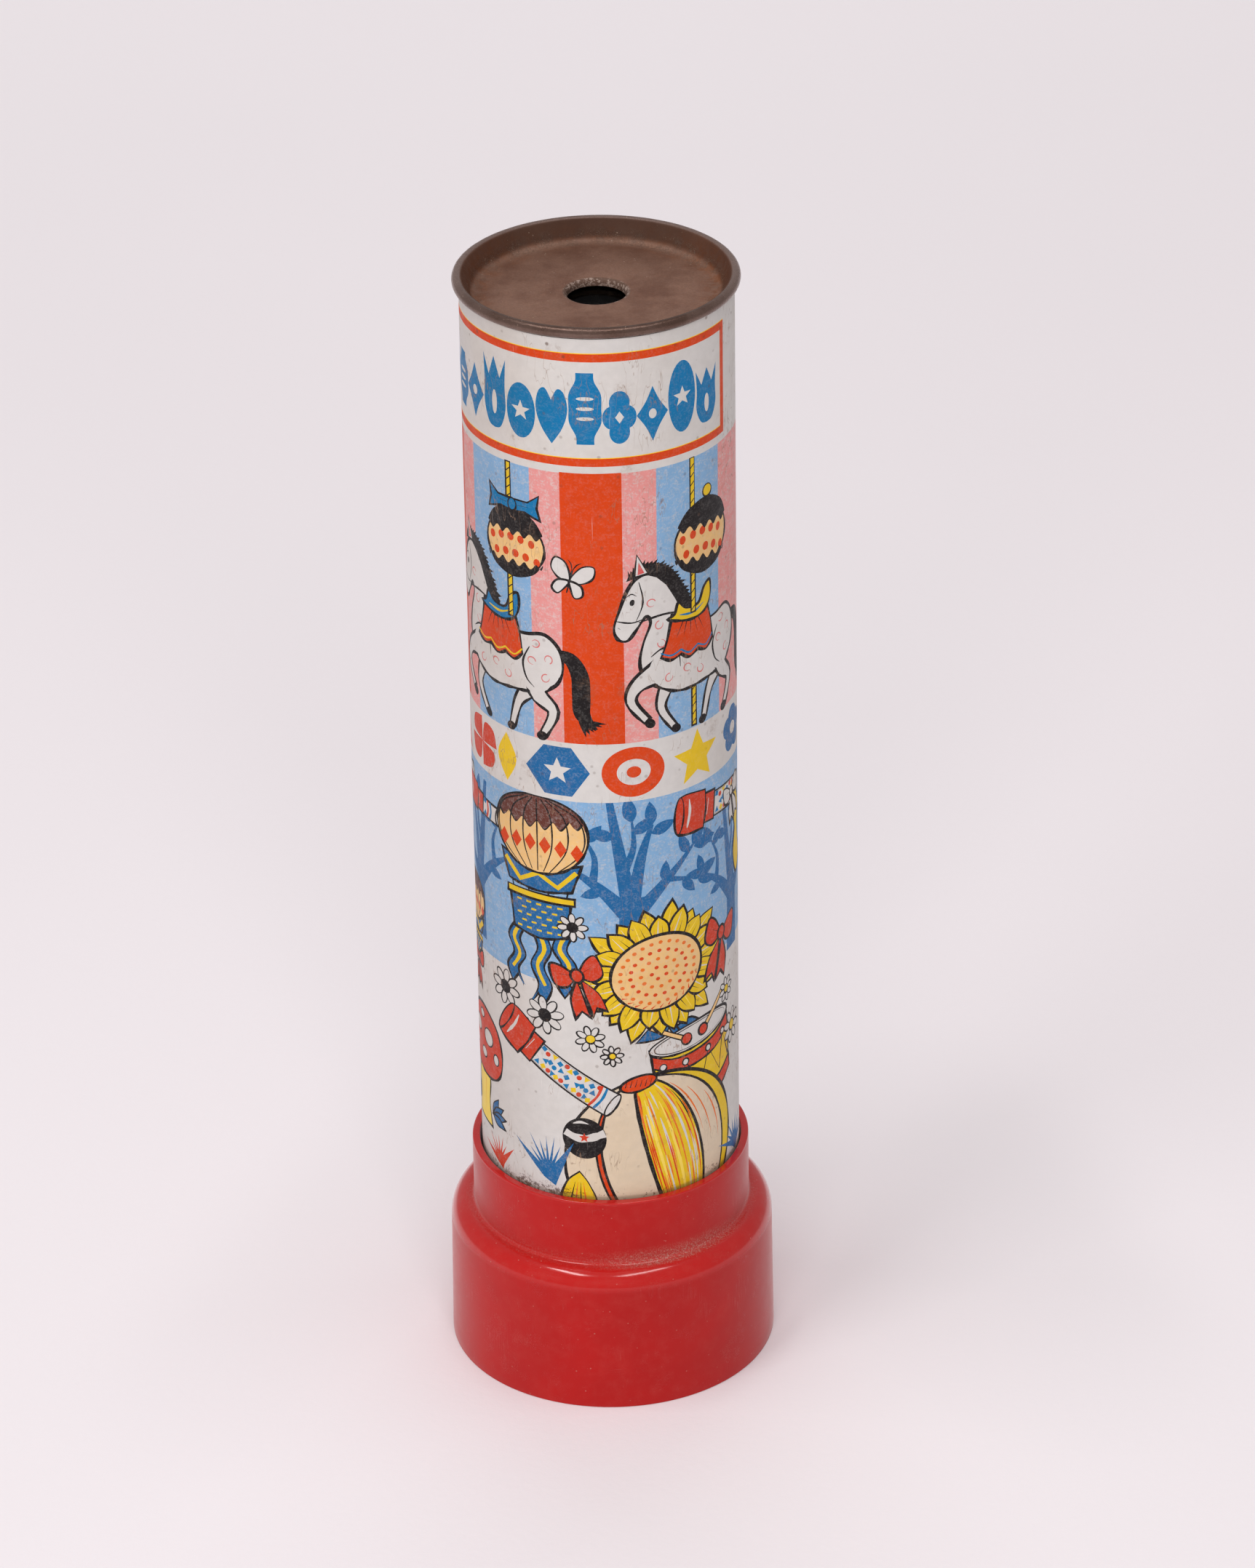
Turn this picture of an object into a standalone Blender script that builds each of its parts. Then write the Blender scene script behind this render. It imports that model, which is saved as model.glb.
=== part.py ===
"""Toy kaleidoscope: a card tube with a printed label, a pressed tin eyepiece cap, three glass mirrors,
and a plastic end housing that turns on the tube and holds a cell of loose coloured pieces.

The tube stands on +Z, the housing's open base is at z = 0, and the tube's axis is the Z axis.
"""
import math

import bmesh
import bpy
from mathutils import Matrix, Vector

MM = 0.001
GAP = 0.3                      # clearance between neighbouring pieces, in mm like every size below
FACETS = 64                    # sides of every round piece

# ---------------------------------------------------------------- driving dimensions, mm
LABEL_R = 23.2                 # outer face of the printed label
LABEL_T = 0.25
TUBE_WALL = 0.9
SHEET_T = 0.3                  # tinplate of the cap and the ferrule
CARD_T = 0.7                   # card of the discs and the mirror sleeve
PANE_T = 0.8                   # clear and frosted plastic panes

BEAD_Z = 207.95                # centre height of the cap's rolled rim
BEAD_OUTER_R = 24.2
BEAD_R = 0.93
PANEL_DROP = 2.8               # panel's upper face under the bead's centre
PEEP_R = 4.95

BODY_FOOT_R = 29.35            # housing's outside at the base
BODY_TOP_R = 29.0              # and where its shoulder starts: a little moulding draft
SHOULDER_Z = 27.5
SHOULDER_ROUND = 3.4
COLLAR_R = 24.85
COLLAR_FILLET = 0.6
LIP_Z = 40.3
CELL_R = 27.3                  # inside of the housing round the cell
WELL_R = 26.3                  # inside above the cell's ledge
LEDGE_Z = 12.3
SHOULDER_WALL = 1.8
GROOVE_Z = 1.1                 # middle of the retaining ring's groove

MIRROR_INRADIUS = 9.6          # from the axis to a mirror's reflecting face
MIRROR_T = 1.9

# ---------------------------------------------------------------- worked out from those
TUBE_R = LABEL_R - LABEL_T - GAP
BORE_R = TUBE_R - TUBE_WALL
BEAD_RING_R = BEAD_OUTER_R - BEAD_R
PANEL_Z = BEAD_Z - PANEL_DROP
COLLAR_BORE_R = LABEL_R + GAP
UNDER_SHOULDER_Z = SHOULDER_Z - SHOULDER_WALL
PANE_R = CELL_R - GAP
CELL_WINDOW_Z = LEDGE_Z - GAP - 1.0
DIFFUSER_Z = 2.0
DIFFUSER_T = 1.0
CELL_FLOOR_Z = DIFFUSER_Z + DIFFUSER_T + GAP
CELL_RING_WALL = 1.6

TUBE_FOOT_Z = CELL_WINDOW_Z + 1.4
TUBE_TOP_Z = BEAD_Z - BEAD_R - 0.5
LABEL_FOOT_Z = UNDER_SHOULDER_Z + 0.5
LABEL_TOP_Z = TUBE_TOP_Z + 0.2
FLANGE_R = WELL_R - 0.5
FLANGE_TOP_Z = UNDER_SHOULDER_Z - 0.5 - 2 * GAP
WASHER_T = 0.5

INSIDE_DISC_R = BORE_R - GAP
MASK_TOP_Z = TUBE_FOOT_Z + CARD_T
MIRROR_FOOT_Z = MASK_TOP_Z + GAP
FLANGE_DROP = 1.25             # how far the peephole's edge is turned down
WINDOW_TOP_Z = PANEL_Z - FLANGE_DROP - 0.4
EYE_DISC_TOP_Z = WINDOW_TOP_Z - PANE_T - GAP
MIRROR_TOP_Z = EYE_DISC_TOP_Z - CARD_T - GAP
MIRROR_HALF_WIDTH = math.sqrt(3.0) * MIRROR_INRADIUS - 0.25
MIRROR_OUTER = MIRROR_INRADIUS + MIRROR_T

TRIANGLE_SIDES = (90, 210, 330)    # directions from the axis to the three mirrors, degrees


def clear_scene():
    for old in list(bpy.data.objects):
        bpy.data.objects.remove(old, do_unlink=True)


def make_material(name, colour, roughness, metallic=0.0, transmission=0.0):
    material = bpy.data.materials.new(name)
    material.use_nodes = True
    shader = material.node_tree.nodes["Principled BSDF"]
    shader.inputs["Base Color"].default_value = (*colour, 1.0)
    shader.inputs["Roughness"].default_value = roughness
    shader.inputs["Metallic"].default_value = metallic
    shader.inputs["Transmission Weight"].default_value = transmission
    material.diffuse_color = (*colour, 1.0)
    return material


def finish(obj, collection, material, parent=None):
    """Link a new object, give it its one material, and shade its round faces smooth."""
    for other in list(obj.users_collection):
        other.objects.unlink(obj)
    collection.objects.link(obj)
    obj.data.materials.clear()
    obj.data.materials.append(material)
    obj.parent = parent
    if obj.type == "MESH":
        obj.data.shade_smooth()
        obj.data.set_sharp_from_angle(angle=math.radians(35))
    return obj


def arc(centre_r, centre_z, radius, start, end, steps):
    """Points on a circle in the (r, z) plane, from one angle to another, in degrees."""
    points = []
    for i in range(steps + 1):
        angle = math.radians(start + (end - start) * i / steps)
        points.append((centre_r + radius * math.cos(angle), centre_z + radius * math.sin(angle)))
    return points


def add_screw(obj):
    screw = obj.modifiers.new("turn", "SCREW")
    screw.axis = "Z"
    screw.angle = math.tau
    screw.steps = FACETS
    screw.render_steps = FACETS
    screw.use_merge_vertices = True
    screw.merge_threshold = 0.00001
    return screw


def profile_object(name, points, closed):
    """A wire in the XZ plane, at +X, for the Screw modifier to turn."""
    mesh = bpy.data.meshes.new(name)
    verts = [(r * MM, 0.0, z * MM) for r, z in points]
    edges = [(i, i + 1) for i in range(len(verts) - 1)]
    if closed:
        edges.append((len(verts) - 1, 0))
    mesh.from_pydata(verts, edges, [])
    return bpy.data.objects.new(name, mesh)


def turned(name, outline, collection, material, parent):
    """A closed (r, z) outline, which runs down its outer side, turned about the axis."""
    obj = profile_object(name, outline, closed=True)
    add_screw(obj)
    return finish(obj, collection, material, parent)


def ring(name, inner, outer, low, high, collection, material, parent):
    outline = [(outer, high), (outer, low), (inner, low), (inner, high)]
    return turned(name, outline, collection, material, parent)


def pressed_sheet(name, path, thickness, collection, material, parent):
    """An open (r, z) path turned about the axis and given the sheet's thickness."""
    obj = profile_object(name, path, closed=False)
    add_screw(obj)
    solid = obj.modifiers.new("sheet", "SOLIDIFY")
    solid.thickness = thickness * MM
    solid.offset = 0.0
    solid.use_even_offset = True
    return finish(obj, collection, material, parent)


def disc(name, radius, low, high, collection, material, parent):
    work = bmesh.new()
    bmesh.ops.create_cone(work, cap_ends=True, segments=FACETS, radius1=radius * MM,
                          radius2=radius * MM, depth=(high - low) * MM)
    mesh = bpy.data.meshes.new(name)
    work.to_mesh(mesh)
    work.free()
    obj = bpy.data.objects.new(name, mesh)
    obj.location.z = 0.5 * (low + high) * MM
    return finish(obj, collection, material, parent)


def extruded(name, outlines, low, high, collection, material, parent, turn=0.0):
    """Flat closed outlines, the later ones holes in the first, extruded from low to high."""
    curve = bpy.data.curves.new(name, "CURVE")
    curve.dimensions = "2D"
    curve.fill_mode = "BOTH"
    curve.extrude = 0.5 * (high - low) * MM
    for points in outlines:
        spline = curve.splines.new("POLY")
        spline.points.add(len(points) - 1)
        for slot, (x, y) in zip(spline.points, points):
            slot.co = (x * MM, y * MM, 0.0, 1.0)
        spline.use_cyclic_u = True
    obj = bpy.data.objects.new(name, curve)
    obj.location.z = 0.5 * (low + high) * MM
    obj.rotation_euler.z = math.radians(turn)
    weld = obj.modifiers.new("weld", "WELD")
    weld.merge_threshold = 0.00001
    return finish(obj, collection, material, parent)


def circle_outline(radius, count=FACETS):
    return [(radius * math.cos(math.tau * i / count), radius * math.sin(math.tau * i / count))
            for i in range(count)]


# ---------------------------------------------------------------- tube and eyepiece
def build_cap(collection, material, parent):
    """Tin end: turned-down peephole, flat panel, sloping side wall, and a rolled rim over the tube's end."""
    half = 0.5 * SHEET_T
    panel = PANEL_Z - half
    hole = PEEP_R + half
    hole_round = 0.65
    wall_tilt = 62.0                       # degrees of the side wall from the horizontal
    cove = 1.6
    roll = BEAD_R - half
    # The wall touches the roll where the roll's tangent has the wall's tilt.
    touch = 90.0 + wall_tilt
    touch_r = BEAD_RING_R + roll * math.cos(math.radians(touch))
    touch_z = BEAD_Z + roll * math.sin(math.radians(touch))
    # The cove is tangent to the panel and to the wall.
    slope = math.tan(math.radians(wall_tilt))
    foot_r = touch_r - (touch_z - panel) / slope
    cove_r = foot_r - cove * math.tan(math.radians(0.5 * wall_tilt))
    path = [(hole, PANEL_Z - FLANGE_DROP)]
    path += arc(hole + hole_round, panel - hole_round, hole_round, 180, 90, 3)
    path += arc(cove_r, panel + cove, cove, -90, wall_tilt - 90, 3)
    path += arc(BEAD_RING_R, BEAD_Z, roll, touch, -140, 10)
    return pressed_sheet("eyepiece_cap", path, SHEET_T, collection, material, parent)


def build_tube(collection, card, paper, parent):
    """Card tube, its mouth crushed a little wider by the cap, and the label wrapped on it."""
    outline = [(TUBE_R, TUBE_TOP_Z), (TUBE_R, TUBE_FOOT_Z), (BORE_R, TUBE_FOOT_Z),
               (BORE_R, TUBE_TOP_Z - 1.3), (BORE_R + 0.5, TUBE_TOP_Z)]
    turned("card_tube", outline, collection, card, parent)
    ring("printed_label", LABEL_R - LABEL_T, LABEL_R, LABEL_FOOT_Z, LABEL_TOP_Z, collection, paper, parent)


def build_ferrule(collection, tin, felt, parent):
    """Tin ring on the tube's foot: its flange, under the housing's shoulder, keeps the housing on."""
    inner = TUBE_R + GAP
    outer = inner + SHEET_T
    flange_low = FLANGE_TOP_Z - SHEET_T
    outline = [(FLANGE_R, FLANGE_TOP_Z), (FLANGE_R, flange_low), (outer, flange_low),
               (outer, TUBE_FOOT_Z + 0.8), (inner, TUBE_FOOT_Z + 0.8), (inner, FLANGE_TOP_Z)]
    turned("tube_ferrule", outline, collection, tin, parent)
    low = FLANGE_TOP_Z + GAP
    ring("felt_washer", inner, FLANGE_R, low, low + WASHER_T, collection, felt, parent)


# ---------------------------------------------------------------- optics
def mirror_corner(side, end, grow=0.0):
    """Outer corner of a mirror, moved out by grow along its face and its end."""
    along = Vector((-math.sin(math.radians(side)), math.cos(math.radians(side))))
    out = Vector((math.cos(math.radians(side)), math.sin(math.radians(side))))
    point = out * (MIRROR_OUTER + grow) + along * end * (MIRROR_HALF_WIDTH + 0.5 * grow)
    return point.x, point.y


def sleeve_outline(grow):
    return [mirror_corner(side, end, grow) for side in TRIANGLE_SIDES for end in (-1, 1)]


def build_mirrors(collection, glass, card, parent):
    height = MIRROR_TOP_Z - MIRROR_FOOT_Z
    middle = MIRROR_INRADIUS + 0.5 * MIRROR_T
    for number, side in enumerate(TRIANGLE_SIDES, start=1):
        name = f"mirror_{number}"
        work = bmesh.new()
        bmesh.ops.create_cube(work, size=1.0)
        size = Matrix.Diagonal((MIRROR_T * MM, 2 * MIRROR_HALF_WIDTH * MM, height * MM, 1.0))
        bmesh.ops.transform(work, matrix=size, verts=work.verts)
        mesh = bpy.data.meshes.new(name)
        work.to_mesh(mesh)
        work.free()
        obj = bpy.data.objects.new(name, mesh)
        angle = math.radians(side)
        obj.location = (middle * MM * math.cos(angle), middle * MM * math.sin(angle),
                        0.5 * (MIRROR_FOOT_Z + MIRROR_TOP_Z) * MM)
        obj.rotation_euler.z = angle
        finish(obj, collection, glass, parent)
    extruded("mirror_sleeve", [sleeve_outline(GAP + 0.5), sleeve_outline(GAP)],
             MIRROR_FOOT_Z, MIRROR_TOP_Z, collection, card, parent)


def packing_outline():
    """Cross-section of a strip bowed between the sleeve and the bore, its middle towards +X."""
    foot = MIRROR_OUTER + GAP + 0.5 + 0.4
    crown = BORE_R - 0.4
    half_span = 10.0
    thickness = 0.8
    rise = crown - foot
    radius = (rise * rise + half_span * half_span) / (2 * rise)
    centre = crown - radius
    end = math.degrees(math.atan2(half_span, foot - centre))
    outer = arc(centre, 0.0, radius, -end, end, 10)
    inner = arc(centre, 0.0, radius - thickness, end, -end, 10)
    return outer + inner


def build_tube_insides(collection, clear, card, grey_card, parent):
    for number, side in enumerate(TRIANGLE_SIDES, start=1):
        extruded(f"packing_strip_{number}", [packing_outline()], MIRROR_FOOT_Z + 8.0,
                 MIRROR_TOP_Z - 8.0, collection, grey_card, parent, turn=side)
    opening_r = 2.0 * (MIRROR_INRADIUS - 0.1)
    opening = [(opening_r * math.cos(math.radians(side + 60)), opening_r * math.sin(math.radians(side + 60)))
               for side in TRIANGLE_SIDES]
    extruded("object_mask", [circle_outline(INSIDE_DISC_R), opening], TUBE_FOOT_Z, MASK_TOP_Z,
             collection, card, parent)
    ring("eye_disc", 6.0, INSIDE_DISC_R, EYE_DISC_TOP_Z - CARD_T, EYE_DISC_TOP_Z, collection, card, parent)
    disc("eyepiece_window", INSIDE_DISC_R, WINDOW_TOP_Z - PANE_T, WINDOW_TOP_Z, collection, clear, parent)


# ---------------------------------------------------------------- turning housing and cell
def build_housing(collection, red, parent):
    """Stepped moulding: wide body, rounded shoulder, and the collar that runs on the tube."""
    groove_r = CELL_R + 0.45
    lip_round = 0.25
    foot_round = 0.2
    groove_low = GROOVE_Z - 0.6
    groove_high = GROOVE_Z + 0.6
    outline = [(COLLAR_R - lip_round, LIP_Z), (COLLAR_R, LIP_Z - lip_round)]
    outline += arc(COLLAR_R + COLLAR_FILLET, SHOULDER_Z + COLLAR_FILLET, COLLAR_FILLET, 180, 270, 3)
    outline += arc(BODY_TOP_R - SHOULDER_ROUND, SHOULDER_Z - SHOULDER_ROUND, SHOULDER_ROUND, 90, 0, 6)
    outline += [(BODY_FOOT_R, foot_round), (BODY_FOOT_R - foot_round, 0.0)]
    outline += [(CELL_R + foot_round, 0.0), (CELL_R, foot_round)]
    outline += [(CELL_R, groove_low - 0.1), (groove_r, groove_low)]
    outline += [(groove_r, groove_high), (CELL_R, groove_high + 0.1)]
    outline += [(CELL_R, LEDGE_Z), (WELL_R, LEDGE_Z), (WELL_R, UNDER_SHOULDER_Z)]
    outline += [(COLLAR_BORE_R, UNDER_SHOULDER_Z), (COLLAR_BORE_R, LIP_Z)]
    turned("rotating_housing", outline, collection, red, parent)


def build_retaining_ring(collection, steel, parent):
    """Split ring of spring wire, sprung into the housing's groove under the frosted pane."""
    wire_r = 0.55
    ring_r = CELL_R + 0.1 - wire_r
    turns = 345.0
    count = 44
    curve = bpy.data.curves.new("retaining_ring", "CURVE")
    curve.dimensions = "3D"
    curve.bevel_depth = wire_r * MM
    curve.bevel_resolution = 2
    curve.use_fill_caps = True
    spline = curve.splines.new("POLY")
    spline.points.add(count - 1)
    for i, slot in enumerate(spline.points):
        angle = math.radians(90.0 - 0.5 * turns + turns * i / (count - 1))
        slot.co = (ring_r * math.cos(angle) * MM, ring_r * math.sin(angle) * MM, GROOVE_Z * MM, 1.0)
    finish(bpy.data.objects.new("retaining_ring", curve), collection, steel, parent)


def build_cell(collection, clear, frosted, card, parent):
    ring_inner = PANE_R - CELL_RING_WALL
    disc("cell_window", PANE_R, CELL_WINDOW_Z, CELL_WINDOW_Z + 1.0, collection, clear, parent)
    ring("cell_ring", ring_inner, PANE_R, CELL_FLOOR_Z, CELL_WINDOW_Z - GAP, collection, card, parent)
    disc("diffuser_disc", PANE_R, DIFFUSER_Z, DIFFUSER_Z + DIFFUSER_T, collection, frosted, parent)


# ---------------------------------------------------------------- loose pieces in the cell
# shape of a piece: sides of its prism, radius, thickness; a bead or a rod has no sides
PIECE_SHAPES = (
    ("triangle", 3, 3.1, 1.4),
    ("bead", 0, 1.7, 3.4),
    ("tile", 4, 2.6, 1.2),
    ("rod", 0, 1.1, 6.0),
    ("hexagon", 6, 2.4, 1.6),
)
PIECE_COLOURS = ("red", "blue", "yellow", "green", "orange", "violet", "clear")
PIECE_RINGS = ((1, 0.0), (7, 9.3), (14, 19.6))   # pieces in each ring, and the ring's radius


def piece_mesh(name, kind, sides, radius, thickness):
    work = bmesh.new()
    if kind == "bead":
        bmesh.ops.create_uvsphere(work, u_segments=12, v_segments=8, radius=radius * MM)
    elif kind == "rod":
        bmesh.ops.create_cone(work, cap_ends=True, segments=10, radius1=radius * MM,
                              radius2=radius * MM, depth=thickness * MM)
        bmesh.ops.rotate(work, verts=work.verts, matrix=Matrix.Rotation(math.radians(90), 3, "X"))
    else:
        bmesh.ops.create_cone(work, cap_ends=True, segments=sides, radius1=radius * MM,
                              radius2=radius * MM, depth=thickness * MM)
    mesh = bpy.data.meshes.new(name)
    work.to_mesh(mesh)
    work.free()
    return mesh


def build_pieces(collection, colours, parent):
    number = 0
    for count, ring_r in PIECE_RINGS:
        for i in range(count):
            kind, sides, radius, thickness = PIECE_SHAPES[number % len(PIECE_SHAPES)]
            colour = PIECE_COLOURS[(number * 3) % len(PIECE_COLOURS)]
            name = f"loose_{kind}_{number + 1}"
            obj = bpy.data.objects.new(name, piece_mesh(name, kind, sides, radius, thickness))
            height = {"bead": 2 * radius, "rod": 2 * radius}.get(kind, thickness)
            angle = math.tau * i / count + 0.3 * math.sin(7.0 * number) / max(count, 3)
            reach = ring_r + (0.9 * math.sin(5.0 * number) if ring_r else 0.0)
            obj.location = (reach * MM * math.cos(angle), reach * MM * math.sin(angle),
                            (CELL_FLOOR_Z + 0.5 * height) * MM)
            obj.rotation_euler.z = 2.4 * number
            finish(obj, collection, colours[colour], parent)
            number += 1


def main():
    clear_scene()
    collection = bpy.data.collections.new("kaleidoscope")
    bpy.context.scene.collection.children.link(collection)
    hub = bpy.data.objects.new("turning_axis", None)
    collection.objects.link(hub)

    tin = make_material("aged_tinplate", (0.11, 0.065, 0.05), 0.42, metallic=0.8)
    bright_tin = make_material("inner_tinplate", (0.45, 0.42, 0.38), 0.35, metallic=1.0)
    steel = make_material("spring_steel", (0.5, 0.5, 0.5), 0.3, metallic=1.0)
    paper = make_material("label_paper", (0.75, 0.73, 0.7), 0.55)
    card = make_material("brown_card", (0.36, 0.27, 0.18), 0.85)
    grey_card = make_material("grey_card", (0.4, 0.38, 0.35), 0.9)
    felt = make_material("felt", (0.12, 0.12, 0.12), 0.95)
    mirror = make_material("mirror_glass", (0.8, 0.82, 0.82), 0.03, metallic=1.0)
    clear = make_material("clear_plastic", (0.9, 0.9, 0.88), 0.08, transmission=0.9)
    frosted = make_material("frosted_plastic", (0.85, 0.84, 0.8), 0.6, transmission=0.5)
    red = make_material("red_plastic", (0.5, 0.02, 0.018), 0.32)
    hues = {"red": (0.6, 0.02, 0.03), "blue": (0.03, 0.12, 0.6), "yellow": (0.8, 0.6, 0.03),
            "green": (0.03, 0.4, 0.1), "orange": (0.8, 0.25, 0.02), "violet": (0.3, 0.05, 0.4),
            "clear": (0.85, 0.87, 0.87)}
    colours = {hue: make_material(f"piece_{hue}", rgb, 0.15, transmission=0.6)
               for hue, rgb in hues.items()}

    build_cap(collection, tin, None)
    build_tube(collection, card, paper, None)
    build_ferrule(collection, bright_tin, felt, None)
    build_mirrors(collection, mirror, card, None)
    build_tube_insides(collection, clear, card, grey_card, None)
    build_housing(collection, red, hub)
    build_retaining_ring(collection, steel, hub)
    build_cell(collection, clear, frosted, card, hub)
    build_pieces(collection, colours, hub)


main()
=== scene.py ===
"""Looks of the toy kaleidoscope: printed label, aged tin cap, red moulded housing, mirrors and loose pieces.

Sizes here are in millimetres and are turned into metres when a mesh is made. The tube stands on +Z and its
axis is the Z axis. On the label, u is the distance round the tube from the front (-Y), positive towards +X,
and v is the height.
"""
import math

import bpy
import numpy as np
from mathutils import Matrix, Vector, noise
from mathutils.geometry import delaunay_2d_cdt


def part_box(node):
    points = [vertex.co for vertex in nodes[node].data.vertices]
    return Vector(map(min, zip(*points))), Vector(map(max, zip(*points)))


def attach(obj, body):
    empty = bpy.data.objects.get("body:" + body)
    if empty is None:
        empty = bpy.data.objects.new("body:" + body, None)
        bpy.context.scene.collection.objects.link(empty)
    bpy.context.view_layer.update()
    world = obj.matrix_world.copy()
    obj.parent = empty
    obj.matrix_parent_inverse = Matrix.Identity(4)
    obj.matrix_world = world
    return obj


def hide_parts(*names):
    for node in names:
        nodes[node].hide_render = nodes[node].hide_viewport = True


MM = 0.001
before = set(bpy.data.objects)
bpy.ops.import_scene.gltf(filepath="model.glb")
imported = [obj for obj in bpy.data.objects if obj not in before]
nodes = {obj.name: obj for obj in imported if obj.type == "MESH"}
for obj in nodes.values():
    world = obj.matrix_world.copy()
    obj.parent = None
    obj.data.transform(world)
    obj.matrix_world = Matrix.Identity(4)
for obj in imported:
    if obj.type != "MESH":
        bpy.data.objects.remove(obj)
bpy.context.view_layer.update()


def node_box(name):
    """Lowest and highest corner of a CAD node, in mm."""
    low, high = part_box(name)
    return low / MM, high / MM


def outer_r(name):
    """Outer radius of a round CAD node, in mm."""
    return node_box(name)[1].x


# ---------------------------------------------------------------- sizes, mm
LABEL_R = outer_r("printed_label")
LABEL_FOOT = node_box("printed_label")[0].z
LABEL_TOP = node_box("printed_label")[1].z
LIP_Z = node_box("rotating_housing")[1].z
FOOT_R = outer_r("rotating_housing")
RIM_R = outer_r("eyepiece_cap")
RIM_TOP = node_box("eyepiece_cap")[1].z
SEGMENTS = 192                     # sides of the turned pieces that show
SHARP_ANGLE = 35.0                 # degrees: edges that bend more than this stay sharp


# ---------------------------------------------------------------- meshes
def arc(centre_r, centre_z, radius, start, end, steps):
    """Points on a circle in the (r, z) plane, from one angle to another, in degrees."""
    points = []
    for i in range(steps + 1):
        angle = math.radians(start + (end - start) * i / steps)
        points.append((centre_r + radius * math.cos(angle), centre_z + radius * math.sin(angle)))
    return points


def divided(points, longest):
    """A path with points added, so that no step is longer than the longest given."""
    result = [points[0]]
    for (r0, z0), (r1, z1) in zip(points, points[1:]):
        count = max(1, math.ceil(math.hypot(r1 - r0, z1 - z0) / longest))
        result += [(r0 + (r1 - r0) * i / count, z0 + (z1 - z0) * i / count) for i in range(1, count + 1)]
    return result


def sheet_outline(path, thickness):
    """Closed outline of a bent sheet, from the path along its middle."""
    sides = ([], [])
    for i, (r, z) in enumerate(path):
        before = path[max(i - 1, 0)]
        after = path[min(i + 1, len(path) - 1)]
        along = Vector((after[0] - before[0], after[1] - before[1])).normalized()
        for side, sign in zip(sides, (0.5, -0.5)):
            side.append((r - along.y * thickness * sign, z + along.x * thickness * sign))
    return sides[0] + sides[1][::-1]


def new_object(name, verts, faces, body):
    """A piece made of these points, in mm, which moves with a body."""
    mesh = bpy.data.meshes.new(name)
    mesh.from_pydata([Vector(v) * MM for v in verts], [], faces)
    mesh.validate()
    mesh.shade_smooth()
    mesh.set_sharp_from_angle(angle=math.radians(SHARP_ANGLE))
    obj = bpy.data.objects.new(name, mesh)
    bpy.context.scene.collection.objects.link(obj)
    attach(obj, body)
    return obj


def turned(name, outline, body, shape, segments=SEGMENTS):
    """A closed (r, z) outline turned about the axis. shape(x, y, z) moves each point a little."""
    area = sum(r0 * z1 - r1 * z0 for (r0, z0), (r1, z1) in zip(outline, outline[1:] + outline[:1]))
    if area < 0:
        outline = outline[::-1]
    count = len(outline)
    verts = []
    for i in range(segments):
        angle = math.tau * i / segments
        for r, z in outline:
            verts.append(shape(r * math.cos(angle), r * math.sin(angle), z))
    faces = []
    for i in range(segments):
        here = i * count
        there = ((i + 1) % segments) * count
        for j in range(count):
            k = (j + 1) % count
            faces.append((here + j, there + j, there + k, here + k))
    return new_object(name, verts, faces, body)


# ---------------------------------------------------------------- material nodes
def linear(red, green, blue):
    """A display colour, 0 to 255, as the linear colour that a shader takes."""
    channels = []
    for value in (red, green, blue):
        value /= 255.0
        channels.append(value / 12.92 if value <= 0.04045 else ((value + 0.055) / 1.055) ** 2.4)
    return tuple(channels) + (1.0,)


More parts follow.
